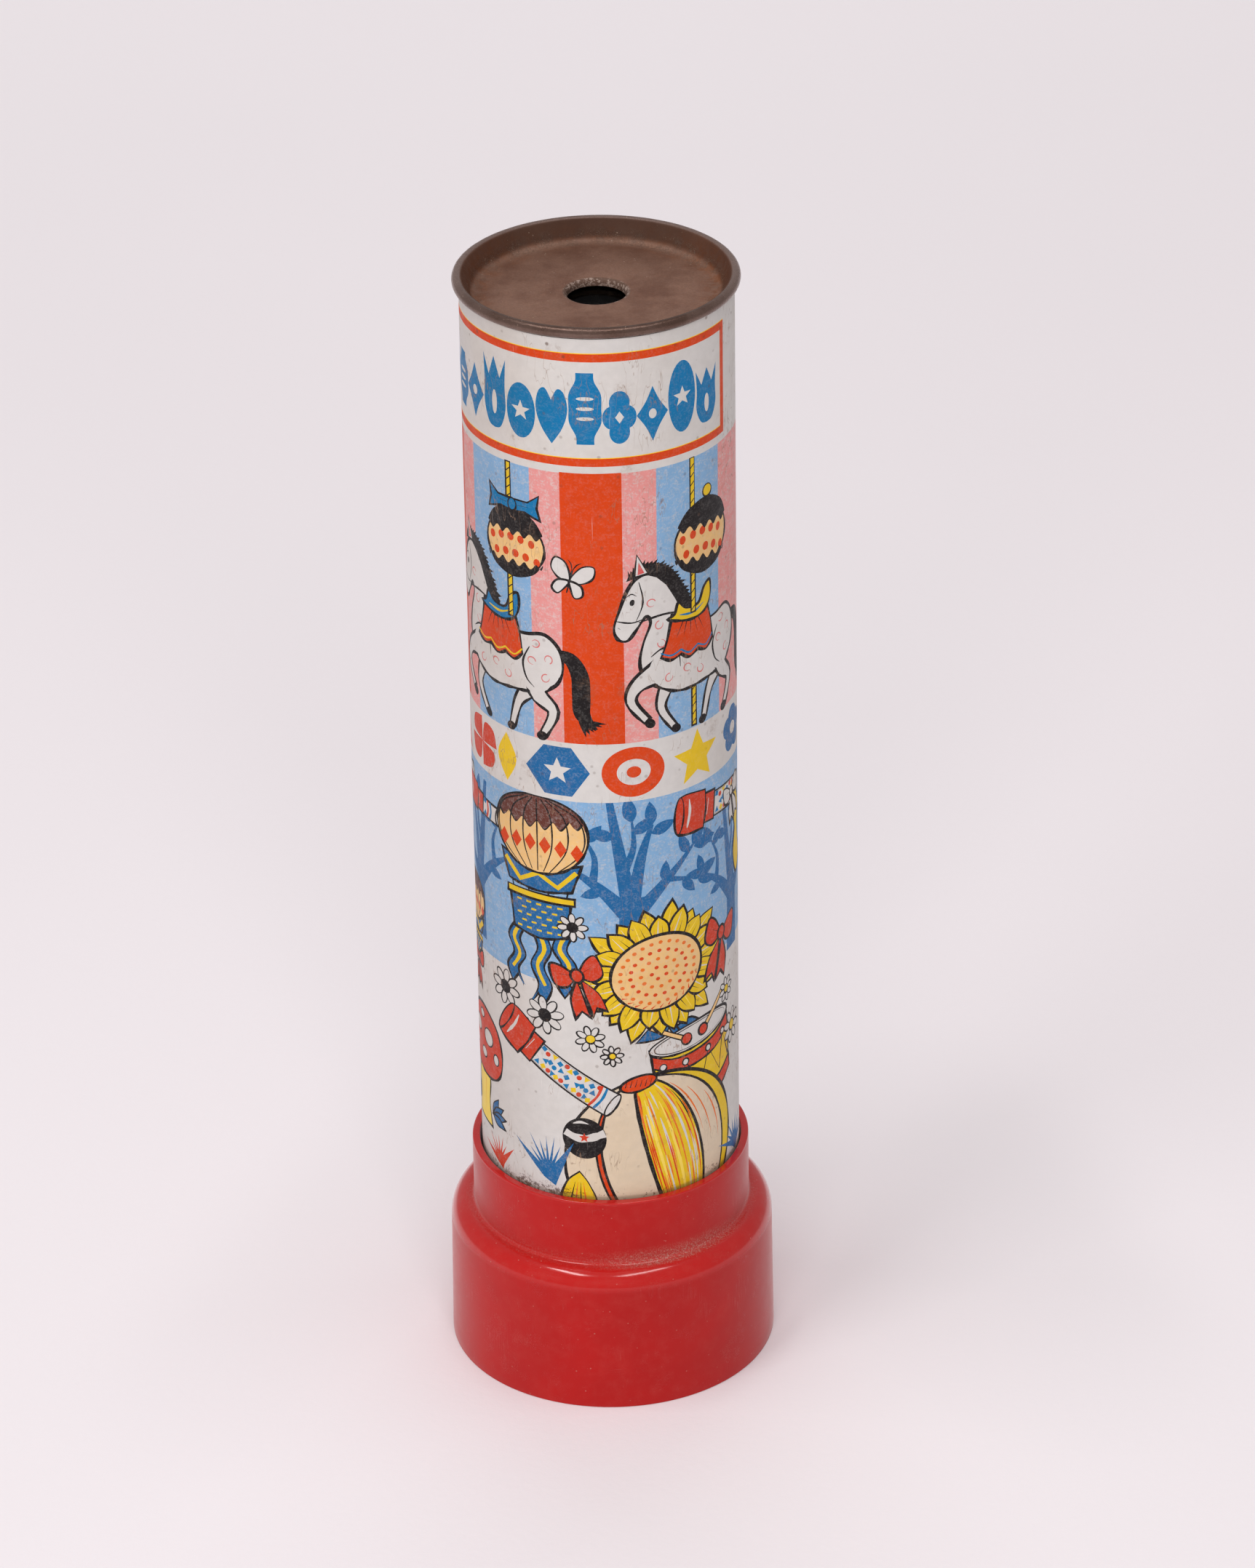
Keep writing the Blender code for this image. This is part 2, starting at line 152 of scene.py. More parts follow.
class Nodes:
    """A material's node tree, with a short call for each kind of node used here."""

    def __init__(self, name):
        self.material = bpy.data.materials.new(name)
        self.material.use_nodes = True
        self.tree = self.material.node_tree
        self.shader = self.tree.nodes["Principled BSDF"]
        self.object_mm = None

    def add(self, kind, **settings):
        """Add a node and give it these settings."""
        node = self.tree.nodes.new(kind)
        for key, value in settings.items():
            setattr(node, key, value)
        return node

    def put(self, socket, value):
        """Link an output, or set a plain value."""
        if isinstance(value, bpy.types.NodeSocket):
            self.tree.links.new(value, socket)
        else:
            socket.default_value = value

    def set(self, **inputs):
        """Set inputs of the shader. Each name has _ for a space."""
        for key, value in inputs.items():
            self.put(self.shader.inputs[key.replace("_", " ")], value)

    def position(self):
        """Place on the object, in mm."""
        if self.object_mm is None:
            coordinates = self.add("ShaderNodeTexCoord")
            scale = self.add("ShaderNodeVectorMath", operation="SCALE")
            self.put(scale.inputs[0], coordinates.outputs["Object"])
            scale.inputs["Scale"].default_value = 1.0 / MM
            self.object_mm = scale.outputs[0]
        return self.object_mm

    def stretched(self, x, y, z, source=None):
        """The place, with each axis scaled, for marks that are longer one way than another."""
        product = self.add("ShaderNodeVectorMath", operation="MULTIPLY")
        self.put(product.inputs[0], source if source is not None else self.position())
        product.inputs[1].default_value = (x, y, z)
        return product.outputs[0]

    def noise(self, scale, detail=2.0, roughness=0.5, where=None, distortion=0.0):
        """Noise from 0 to 1. scale is in cycles a mm."""
        node = self.add("ShaderNodeTexNoise")
        self.put(node.inputs["Vector"], where if where is not None else self.position())
        node.inputs["Scale"].default_value = scale
        node.inputs["Detail"].default_value = detail
        node.inputs["Roughness"].default_value = roughness
        node.inputs["Distortion"].default_value = distortion
        return node.outputs["Fac"]

    def cells(self, scale, where=None):
        """Distance to the nearest of many scattered points. scale is in points a mm."""
        node = self.add("ShaderNodeTexVoronoi")
        self.put(node.inputs["Vector"], where if where is not None else self.position())
        node.inputs["Scale"].default_value = scale
        return node.outputs["Distance"]

    def ramp(self, value, low, high, to_low=0.0, to_high=1.0):
        """Smooth step of a value from low..high to to_low..to_high."""
        node = self.add("ShaderNodeMapRange", interpolation_type="SMOOTHSTEP")
        self.put(node.inputs["Value"], value)
        node.inputs["From Min"].default_value = low
        node.inputs["From Max"].default_value = high
        node.inputs["To Min"].default_value = to_low
        node.inputs["To Max"].default_value = to_high
        return node.outputs["Result"]

    def math(self, operation, *values):
        """Result of one arithmetic operation. plus, times and most are short for the usual ones."""
        node = self.add("ShaderNodeMath", operation=operation)
        for socket, value in zip(node.inputs, values):
            self.put(socket, value)
        return node.outputs[0]

    def plus(self, a, b):
        return self.math("ADD", a, b)

    def times(self, a, b):
        return self.math("MULTIPLY", a, b)

    def most(self, a, b):
        return self.math("MAXIMUM", a, b)

    def away(self, value, middle):
        """How far a value is from the middle given, on either side."""
        return self.math("ABSOLUTE", self.math("SUBTRACT", value, middle))

    def mix(self, amount, a, b, blend="MIX"):
        """Mix of two colours."""
        node = self.add("ShaderNodeMix", data_type="RGBA", blend_type=blend)
        factor, first, second, result = node.inputs[0], node.inputs[6], node.inputs[7], node.outputs[2]
        self.put(factor, amount)
        self.put(first, a)
        self.put(second, b)
        return result

    def bump(self, height, distance):
        """Bump from a height of 0 to 1 that stands for a distance in mm."""
        node = self.add("ShaderNodeBump")
        self.put(node.inputs["Height"], height)
        node.inputs["Distance"].default_value = distance * MM
        return node.outputs["Normal"]

    def cylinder(self):
        """Distance from the axis, angle from the front in radians (positive towards +X), and height."""
        parts = self.add("ShaderNodeSeparateXYZ")
        self.put(parts.inputs[0], self.position())
        x, y, z = parts.outputs
        radius = self.math("SQRT", self.plus(self.times(x, x), self.times(y, y)))
        angle = self.math("ARCTAN2", x, self.times(y, -1.0))
        return radius, angle, z

    def unrolled(self, radius):
        """Place on the unrolled side of a cylinder, in mm: round the tube, up it, and 0."""
        _, angle, z = self.cylinder()
        joined = self.add("ShaderNodeCombineXYZ")
        self.put(joined.inputs[0], self.times(angle, radius))
        self.put(joined.inputs[1], z)
        return joined.outputs[0]


def dress(obj, material):
    """Give an object this material in place of the ones it has."""
    obj.data.materials.clear()
    obj.data.materials.append(material)


# ---------------------------------------------------------------- camera, floor and light
CAMERA_AIM = (3.99, 0.0, 111.16)        # mm
CAMERA_DISTANCE = 1062.4
CAMERA_PITCH = 28.616                   # degrees down from the horizontal
CAMERA_ROLL = -0.855
CAMERA_LENS = 139.7                     # mm
CAMERA_FRAME = 36.0                     # mm high


def add_camera():
    """A camera in front of the tube, which looks down at it and is turned a little about its own axis."""
    pitch = math.radians(CAMERA_PITCH)
    roll = math.radians(CAMERA_ROLL)
    forward = Vector((0.0, math.cos(pitch), -math.sin(pitch)))
    level = Vector((1.0, 0.0, 0.0))
    upright = level.cross(forward)
    right = level * math.cos(roll) + upright * math.sin(roll)
    up = upright * math.cos(roll) - level * math.sin(roll)
    data = bpy.data.cameras.new("camera")
    data.sensor_fit = "VERTICAL"
    data.sensor_height = CAMERA_FRAME
    data.lens = CAMERA_LENS
    data.clip_start = 0.01
    camera = bpy.data.objects.new("camera", data)
    camera.matrix_world = Matrix((right, up, -forward)).transposed().to_4x4()
    camera.location = (Vector(CAMERA_AIM) - forward * CAMERA_DISTANCE) * MM
    bpy.context.scene.collection.objects.link(camera)
    bpy.context.scene.camera = camera


def add_softbox(name, place, aim, size, watts, mirrored=False):
    """A rectangular studio light at a place in metres, turned towards another. Only some make highlights."""
    data = bpy.data.lights.new(name, "AREA")
    data.shape = "RECTANGLE"
    data.size, data.size_y = size
    data.energy = watts
    data.color = (1.0, 0.97, 0.975)
    light = bpy.data.objects.new(name, data)
    light.location = place
    light.visible_glossy = mirrored
    light.rotation_euler = (Vector(aim) - Vector(place)).to_track_quat("-Z", "Y").to_euler()
    bpy.context.scene.collection.objects.link(light)


def add_lights():
    """Two narrow strips overhead make the highlights. Pale surroundings and wide lights fill the rest."""
    world = bpy.data.worlds.new("studio")
    world.use_nodes = True
    background = world.node_tree.nodes["Background"]
    background.inputs["Color"].default_value = (1.0, 0.95, 0.965, 1.0)
    background.inputs["Strength"].default_value = 0.325
    bpy.context.scene.world = world
    middle = (0.0, 0.0, 0.1)
    add_softbox("overhead_left", (-0.36, -0.14, 1.25), (-0.15, -0.08, 0.0), (0.5, 0.1), 2.65, mirrored=True)
    add_softbox("overhead_right", (0.22, -0.14, 1.25), (0.1, -0.08, 0.0), (0.6, 0.1), 2.1, mirrored=True)
    add_softbox("front_fill", (0.0, -1.6, 1.1), middle, (1.2, 1.0), 15.2)
    add_softbox("left_front", (-1.2, -1.1, 0.9), middle, (0.8, 0.8), 7.4)
    add_softbox("back_sweep", (0.0, 1.6, 0.6), middle, (2.0, 0.9), 12.2)


def add_floor():
    """A big square of matt, faintly mottled paper under everything."""
    mesh = bpy.data.meshes.new("floor")
    half = 4.0                          # m
    corners = [(-half, -half, 0), (half, -half, 0), (half, half, 0), (-half, half, 0)]
    mesh.from_pydata(corners, [], [(0, 1, 2, 3)])
    floor = bpy.data.objects.new("floor", mesh)
    bpy.context.scene.collection.objects.link(floor)
    paint = Nodes("floor_paint")
    mottle = paint.noise(0.004, detail=3.0)
    paint.set(Base_Color=paint.mix(mottle, (0.86, 0.826, 0.845, 1.0), (0.89, 0.856, 0.875, 1.0)))
    grain = paint.noise(0.6, detail=4.0)
    paint.set(Roughness=0.75, Specular_IOR_Level=0.2, Normal=paint.bump(grain, 0.05))
    dress(floor, paint.material)


bpy.context.scene.view_settings.view_transform = "Standard"
bpy.context.scene.view_settings.look = "None"
add_camera()
add_floor()
add_lights()


# ---------------------------------------------------------------- tin eyepiece cap
SHEET_T = 0.3
BEAD_R = 0.93                           # the rolled rim
PANEL_DROP = 2.8                        # panel's upper face under the bead's centre
PEEP_R = 4.95
PEEP_NECK = 1.25                        # how far the edge of the peephole is turned down
BEAD_Z = RIM_TOP - BEAD_R
PANEL_Z = BEAD_Z - PANEL_DROP


def cap_path():
    """Middle line of the pressed sheet, from the turned-down peephole out to the rolled rim."""
    half = 0.5 * SHEET_T
    panel = PANEL_Z - half
    hole = PEEP_R + half
    hole_round = 0.65
    wall_tilt = 62.0
    cove = 1.6
    ring_r = RIM_R - BEAD_R
    roll = BEAD_R - half
    roll_end = -140.0
    touch = 90.0 + wall_tilt
    touch_r = ring_r + roll * math.cos(math.radians(touch))
    touch_z = BEAD_Z + roll * math.sin(math.radians(touch))
    foot_r = touch_r - (touch_z - panel) / math.tan(math.radians(wall_tilt))
    cove_r = foot_r - cove * math.tan(math.radians(0.5 * wall_tilt))
    path = [(hole, PANEL_Z - PEEP_NECK)]
    path += arc(hole + hole_round, panel - hole_round, hole_round, 180, 90, 8)
    path += divided([path[-1], (cove_r, panel)], 1.0)[1:-1]
    path += arc(cove_r, panel + cove, cove, -90, wall_tilt - 90, 8)
    path += arc(ring_r, BEAD_Z, roll, touch, roll_end, 26)
    return path


def dented(x, y, z):
    """Handling marks on the thin tin: the rim is a little out of round and the panel is not quite flat."""
    radius = math.hypot(x, y)
    slow = noise.noise(Vector((x, y, 0.0)) * 0.09)
    fine = noise.noise(Vector((x, y, z)) * 0.35)
    full_from = 20.0                    # the radius from which the marks are at their full depth
    panel_reach = 1.2                   # how far above and below the panel it counts as panel
    inward = 1.0 - (0.05 * abs(slow) + 0.02 * abs(fine)) / RIM_R * min(radius / full_from, 1.0)
    panel = max(0.0, 1.0 - abs(z - PANEL_Z) / panel_reach)
    drop = panel * (0.05 * slow + 0.015 * fine)
    return (x * inward, y * inward, z - 0.02 * abs(fine) + drop)


def tin_material():
    """Old tinplate: brown patina, rust and dust in the corner, barer metal where hands rub it, painted shade
    on the far side and a painted reflection on the rim's sides.
    """
    tin = Nodes("aged_tinplate")
    radius, angle, height = tin.cylinder()
    blotch = tin.noise(0.11, detail=5.0, roughness=0.62)
    patches = tin.noise(0.45, detail=5.0, roughness=0.7)
    grain = tin.noise(3.2, detail=4.0, roughness=0.75)
    colour = tin.mix(tin.ramp(blotch, 0.35, 0.68), linear(138, 105, 88), linear(112, 79, 64))
    colour = tin.mix(tin.ramp(patches, 0.52, 0.75, 0.0, 0.55), colour, linear(144, 108, 91))
    # Painted shade: the far side, away from the front, is darker.
    far = tin.times(tin.ramp(tin.math("ABSOLUTE", angle), 1.2, 2.8), tin.ramp(radius, 5.0, 14.0))
    colour = tin.mix(tin.times(far, 0.34), colour, linear(84, 56, 42))
    # Orange rust sits in the corner between the panel and the wall, most of all at the two sides.
    corner = tin.times(tin.ramp(radius, 16.5, 20.6), tin.ramp(radius, 23.0, 21.6))
    side = tin.ramp(tin.away(tin.math("ABSOLUTE", angle), 1.75), 1.1, 0.2)
    rust = tin.times(corner, tin.plus(tin.times(side, 0.5), 0.35))
    rust = tin.times(rust, tin.ramp(patches, 0.36, 0.66))
    colour = tin.mix(rust, colour, linear(116, 68, 38))
    # The wall and the inside of the rim are darker, and the roll itself is greyer bare metal.
    wall = tin.times(tin.ramp(height, PANEL_Z + 0.25, PANEL_Z + 1.2), tin.ramp(radius, 23.3, 22.6))
    wall_tone = tin.mix(tin.ramp(side, 0.2, 0.9, 0.0, 0.8), linear(56, 37, 28), linear(80, 46, 29))
    colour = tin.mix(tin.times(wall, 0.72), colour, wall_tone)
    roll = tin.ramp(radius, 22.55, 23.0)
    roll_tone = tin.mix(tin.ramp(blotch, 0.36, 0.64), linear(116, 97, 89), linear(96, 77, 68))
    # Painted reflection: the roll is paler towards both sides, away from the front, where it catches pale
    # light at a slant.
    side_reflection = tin.ramp(tin.math("ABSOLUTE", angle), 0.7, 1.7, 0.0, 0.8)
    roll_tone = tin.mix(side_reflection, roll_tone, linear(166, 145, 137))
    colour = tin.mix(tin.times(roll, 0.85), colour, roll_tone)
    # The edge of the peephole is worn through to bare metal in places.
    hole = tin.ramp(radius, PEEP_R + 0.95, PEEP_R + 0.4)
    bare = tin.ramp(tin.noise(1.7, detail=4.0, roughness=0.7), 0.5, 0.6)
    worn = tin.mix(bare, linear(92, 74, 64), linear(176, 158, 146))
    colour = tin.mix(tin.times(hole, 0.8), colour, worn)
    # Pale dust and fibres lie in the corner; single specks lie anywhere.
    dusty = tin.times(tin.ramp(radius, 18.4, 20.4), tin.ramp(radius, 22.0, 21.2))
    # On the far side, just above the panel, the pale film is dust and also a painted highlight along the
    # corner.
    dust_and_highlight_film = tin.times(tin.times(dusty, far), tin.ramp(height, PANEL_Z + 0.7, PANEL_Z + 0.15))
    colour = tin.mix(tin.times(dust_and_highlight_film, 0.24), colour, linear(182, 152, 134))
    fibre_field = tin.noise(2.1, detail=3.0, roughness=0.6, distortion=1.6)
    fibre = tin.ramp(tin.away(fibre_field, 0.5), 0.02, 0.006)
    flecks = tin.ramp(tin.noise(4.5, detail=3.0, roughness=0.8), 0.62, 0.74)
    dust = tin.times(dusty, tin.plus(tin.times(fibre, 0.75), tin.times(flecks, 1.0)))
    dust = tin.times(dust, tin.ramp(tin.noise(0.35, detail=2.0), 0.38, 0.6))
    specks = tin.times(tin.ramp(tin.cells(1.1), 0.16, 0.08), tin.ramp(tin.noise(0.7), 0.56, 0.64))
    dust = tin.most(dust, tin.times(specks, 0.6))
    colour = tin.mix(tin.times(dust, 0.8), colour, linear(196, 172, 152))
    colour = tin.mix(tin.ramp(grain, 0.3, 0.7, 0.0, 0.3), colour, linear(70, 49, 41))
    tin.set(Base_Color=colour, Specular_IOR_Level=0.15)
    metal = tin.plus(0.12, tin.times(roll, 0.5))
    tin.set(Metallic=tin.times(metal, tin.math("SUBTRACT", 1.0, tin.most(dust, rust))))
    rough = tin.plus(tin.ramp(patches, 0.3, 0.7, 0.42, 0.58), tin.times(roll, -0.27))
    rough = tin.plus(rough, tin.times(tin.most(dust, rust), 0.3))
    tin.set(Roughness=rough)
    scratches = tin.noise(1.6, detail=3.0, where=tin.stretched(1.0, 0.12, 1.0))
    relief = tin.plus(tin.times(grain, 0.6), tin.times(scratches, 0.4))
    relief = tin.plus(relief, tin.times(dust, 1.3))
    tin.set(Normal=tin.bump(relief, 0.06))
    return tin.material


def build_cap():
    """The pressed tin cap, which stands for the CAD's."""
    outline = sheet_outline(cap_path(), SHEET_T)
    cap = turned("tin_cap", outline, "tube_body", shape=dented, segments=256)
    dress(cap, tin_material())
    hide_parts("eyepiece_cap")


build_cap()


# ---------------------------------------------------------------- red turning housing
BODY_TOP_R = 29.0
SHOULDER_Z = 27.5
SHOULDER_ROUND = 3.4
COLLAR_R = 24.85
COLLAR_FILLET = 0.6
COLLAR_BORE_R = LABEL_R + 0.3
CELL_R = 27.3                           # bore that holds the cell
WELL_R = 26.3                           # bore above the ledge that the cell rests against
LEDGE_Z = 12.3
SHOULDER_WALL = 1.8
UNDER_SHOULDER_Z = SHOULDER_Z - SHOULDER_WALL
GROOVE_Z = 1.1                          # the groove is for the retaining ring
GROOVE_HALF = 0.6
GROOVE_R = CELL_R + 0.45


def housing_outline():
    """Section of the moulding: down the outside from the lip, across the foot, and up the stepped bore."""
    lip = 0.25
    foot = 0.2
    bevel = 0.08
    mouth = 0.1
    outline = [(COLLAR_BORE_R, LIP_Z - bevel), (COLLAR_BORE_R + bevel, LIP_Z)]
    outline += divided([outline[-1], (COLLAR_R - lip, LIP_Z)], 0.4)[1:]
    outline += arc(COLLAR_R - lip, LIP_Z - lip, lip, 90, 0, 6)[1:]
    outline += divided([outline[-1], (COLLAR_R, SHOULDER_Z + COLLAR_FILLET)], 2.0)[1:-1]
    outline += arc(COLLAR_R + COLLAR_FILLET, SHOULDER_Z + COLLAR_FILLET, COLLAR_FILLET, 180, 270, 10)
    outline += arc(BODY_TOP_R - SHOULDER_ROUND, SHOULDER_Z - SHOULDER_ROUND, SHOULDER_ROUND, 90, 0, 24)
    outline += divided([outline[-1], (FOOT_R, foot)], 2.0)[1:]
    outline += arc(FOOT_R - foot, foot, foot, 0, -90, 4)[1:]
    outline += [(CELL_R + foot, 0.0), (CELL_R, foot)]
    outline += [(CELL_R, GROOVE_Z - GROOVE_HALF - mouth), (GROOVE_R, GROOVE_Z - GROOVE_HALF)]
    outline += [(GROOVE_R, GROOVE_Z + GROOVE_HALF), (CELL_R, GROOVE_Z + GROOVE_HALF + mouth)]
    outline += [(CELL_R, LEDGE_Z), (WELL_R, LEDGE_Z), (WELL_R, UNDER_SHOULDER_Z)]
    outline += [(COLLAR_BORE_R, UNDER_SHOULDER_Z)]
    return outline


def moulded(x, y, z):
    """Moulding shrinkage: the walls draw in by a few hundredths of a millimetre."""
    draw = 0.03 * abs(noise.noise(Vector((x * 0.05, y * 0.05, z * 0.08)))) / FOOT_R
    return (x * (1.0 - draw), y * (1.0 - draw), z)


def red_plastic_material():
    """Red plastic gone a little chalky, with dust over the shoulder and fine scratches."""
    red = Nodes("red_plastic")
    radius, angle, height = red.cylinder()
    swirl = red.noise(0.035, detail=4.0, roughness=0.55, distortion=0.6)
    cloud = red.noise(0.4, detail=5.0, roughness=0.7)
    fine = red.noise(6.0, detail=3.0, roughness=0.7)
    colour = red.mix(red.ramp(swirl, 0.3, 0.7), linear(181, 22, 20), linear(171, 22, 20))
    colour = red.mix(red.ramp(cloud, 0.45, 0.8, 0.0, 0.12), colour, linear(188, 46, 38))
    # Faces that are rubbed, the lip and the shoulder, are cleaner and brighter.
    lip = red.ramp(height, LIP_Z - 0.5, LIP_Z - 0.05)
    shoulder = red.ramp(height, SHOULDER_Z - 3.9, SHOULDER_Z - 1.9)
    above = red.ramp(height, SHOULDER_Z + 1.2, SHOULDER_Z + 0.7)
    rubbed = red.most(lip, red.times(shoulder, above))
    colour = red.mix(red.times(rubbed, 0.7), colour, linear(188, 18, 13))
    # Dust lies in the corner over the shoulder, thickest to the right of the front.
    low = red.ramp(height, SHOULDER_Z + 3.5, SHOULDER_Z + 0.5)
    corner = red.times(low, red.ramp(radius, COLLAR_R + 2.05, COLLAR_R + 0.75))
    thick = red.ramp(red.away(angle, 0.5), 0.75, 0.1, 0.18, 1.0)
    flecks = red.ramp(red.noise(3.4, detail=4.0, roughness=0.85), 0.5, 0.6)
    dust = red.times(red.times(corner, thick), red.plus(red.times(flecks, 0.95), 0.14))
    haze = red.times(red.ramp(cloud, 0.4, 0.75), 0.035)
    specks = red.times(red.ramp(red.cells(0.8), 0.14, 0.07), red.ramp(red.noise(0.5), 0.52, 0.62))
    dust = red.most(dust, red.times(specks, 0.45))
    dirt = red.most(dust, haze)
    colour = red.mix(red.times(dirt, 0.85), colour, linear(196, 148, 134))
    # Fine scratches run in every direction; a few are pale.
    scratch = None
    for number, (x, y, z) in enumerate(((2.4, 2.4, 0.10), (0.12, 2.2, 1.6), (1.6, 0.12, 2.2))):
        field = red.noise(0.9 + 0.2 * number, detail=2.0, where=red.stretched(x, y, z))
        line = red.ramp(red.away(field, 0.5), 0.008, 0.002)
        line = red.times(line, red.ramp(red.noise(0.16 + 0.05 * number), 0.55, 0.68))
        scratch = line if scratch is None else red.most(scratch, line)
    colour = red.mix(red.times(scratch, 0.18), colour, linear(216, 120, 112))
    red.set(Base_Color=colour, Specular_IOR_Level=0.18)
    red.set(Sheen_Weight=0.26, Sheen_Roughness=0.35)
    red.set(Coat_Weight=red.times(rubbed, 0.8), Coat_Roughness=0.14)
    rough = red.plus(red.ramp(cloud, 0.3, 0.75, 0.34, 0.42), red.times(rubbed, -0.26))
    rough = red.plus(rough, red.times(dust, 0.35))
    red.set(Roughness=rough)
    relief = red.plus(red.times(fine, 0.25), red.times(dust, 1.0))
    relief = red.math("SUBTRACT", relief, red.times(scratch, 0.5))
    red.set(Normal=red.bump(relief, 0.02))
    return red.material


def build_housing():
    """The moulded housing, which stands for the CAD's."""
    housing = turned("red_housing", housing_outline(), "housing_body", shape=moulded)
    dress(housing, red_plastic_material())
    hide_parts("rotating_housing")


build_housing()


# ---------------------------------------------------------------- label artwork: drawing tools
LAP_EDGE = 34.5                         # u of the label's free edge
LAP_UNDER = 3.0                         # how far the other edge runs on beneath it
GIRTH = math.tau * LABEL_R
START = LAP_EDGE - GIRTH                # u at which the label comes out from under its free edge
HORSE_STEP = GIRTH / 4.0
PLATE_SLIP = (0.06, 0.04)               # how far the warm inks are printed out of place
NEAREST = 0.012                         # points of an outline that are nearer than this are one

# Each ink: display colour, then how much the paper's grain shows through it.
INKS = {
    "paper": (209, 206, 202, 0.0),
    "orange": (209, 64, 2, 0.12),
    "yellow": (226, 190, 22, 0.12),
    "lemon": (244, 214, 90, 0.1),
    "fringe": (246, 196, 40, 0.0),
    "title": (2, 114, 168, 0.16),
    "blue": (22, 98, 154, 0.26),
    "sky": (128, 170, 208, 0.75),
    "pink": (222, 146, 142, 1.0),
    "rose": (206, 84, 82, 0.3),
    "tan": (232, 190, 126, 0.35),
    "cream": (216, 198, 172, 0.15),
    "brown": (98, 52, 42, 0.4),
    "red": (200, 56, 24, 0.2),
    "black": (22, 17, 18, 0.12),
    "white": (209, 206, 202, 0.0),
    "flame": (226, 110, 30, 0.2),
}


def unique(points):
    """The points without those that fall on the one before."""
    result = []
    for point in points:
        if not result or math.dist(point, result[-1]) > NEAREST:
            result.append(point)
    while len(result) > 2 and math.dist(result[0], result[-1]) <= NEAREST:
        result.pop()
    return result


def sharp(*points):
    """The points as sharp corners of a smooth outline."""
    return [point for point in points for _ in range(2)]


def smooth(points, closed=True, steps=5):
    """A curve through the points. A point given twice running is a corner."""
    count = len(points)
    result = []
    for i in range(count if closed else count - 1):
        if closed:
            p0, p1, p2, p3 = (points[(i + k) % count] for k in (-1, 0, 1, 2))
        else:
            p0, p1, p2, p3 = (points[min(max(i + k, 0), count - 1)] for k in (-1, 0, 1, 2))
        if p1 == p2:
            continue
        for step in range(steps):
            t = step / steps
            point = []
            for a, b, c, d in zip(p0, p1, p2, p3):
                bend = (2 * a - 5 * b + 4 * c - d) * t * t + (3 * b - a - 3 * c + d) * t ** 3
                point.append(0.5 * (2 * b + (c - a) * t + bend))
            result.append(tuple(point))
    if not closed:
        result.append(points[-1])
    return unique(result)


def oval(u, v, ru, rv=None, turn=0.0, count=32, start=0.0, end=360.0):
    """Points on an ellipse, or on the part of it from start to end. All angles are in degrees."""
    rv = ru if rv is None else rv
    cosine, sine = math.cos(math.radians(turn)), math.sin(math.radians(turn))
    whole = end - start >= 360.0
    result = []
    for i in range(count if whole else count + 1):
        angle = math.radians(start + (end - start) * i / count)
        x, y = ru * math.cos(angle), rv * math.sin(angle)
        result.append((u + x * cosine - y * sine, v + x * sine + y * cosine))
    return result


def box(u0, v0, u1, v1):
    """A rectangle from its lower left corner to its upper right one."""
    return [(u0, v0), (u1, v0), (u1, v1), (u0, v1)]


def mirrored(half):
    """A closed outline from its right half, which runs up from the bottom."""
    return half + [(-x, y) for x, y in reversed(half)]


def signed_area(points):
    """Area of an outline, below zero if it runs clockwise."""
    return 0.5 * sum(x0 * y1 - x1 * y0 for (x0, y0), (x1, y1) in zip(points, points[1:] + points[:1]))


def both_sides(path, halves):
    """Points to the left and to the right of a path, each half a width away from it."""
    left, right = [], []
    for i, ((x, y), half) in enumerate(zip(path, halves)):
        before, after = path[max(i - 1, 0)], path[min(i + 1, len(path) - 1)]
        dx, dy = after[0] - before[0], after[1] - before[1]
        size = math.hypot(dx, dy) or 1.0
        left.append((x - dy / size * half, y + dx / size * half))
        right.append((x + dy / size * half, y - dx / size * half))
    return left, right


def grown(points, distance, wander):
    """A closed outline moved outwards, by a distance that wanders a little as a brush line does."""
    if signed_area(points) < 0:
        points = points[::-1]
    count = len(points)
    result = []
    length = 0.0
    for i, (x, y) in enumerate(points):
        before, after = points[i - 1], points[(i + 1) % count]
        length += math.dist(before, (x, y))
        edges = []
        for (ax, ay), (bx, by) in ((before, (x, y)), ((x, y), after)):
            size = math.hypot(bx - ax, by - ay) or 1.0
            edges.append(((by - ay) / size, (ax - bx) / size))
        nx, ny = edges[0][0] + edges[1][0], edges[0][1] + edges[1][1]
        size = math.hypot(nx, ny)
        folded = 0.35                   # where the two edges' normals sum to less, the outline doubles back
        if size < folded:
            nx, ny, size = edges[0][0], edges[0][1], 1.0
        reach = distance * (1.0 + wander * math.sin(0.8 * length + x))
        miter = min(2.0 / size, 1.8) if size >= folded else 1.0
        result.append((x + nx / size * reach * miter, y + ny / size * reach * miter))
    return unique(result)


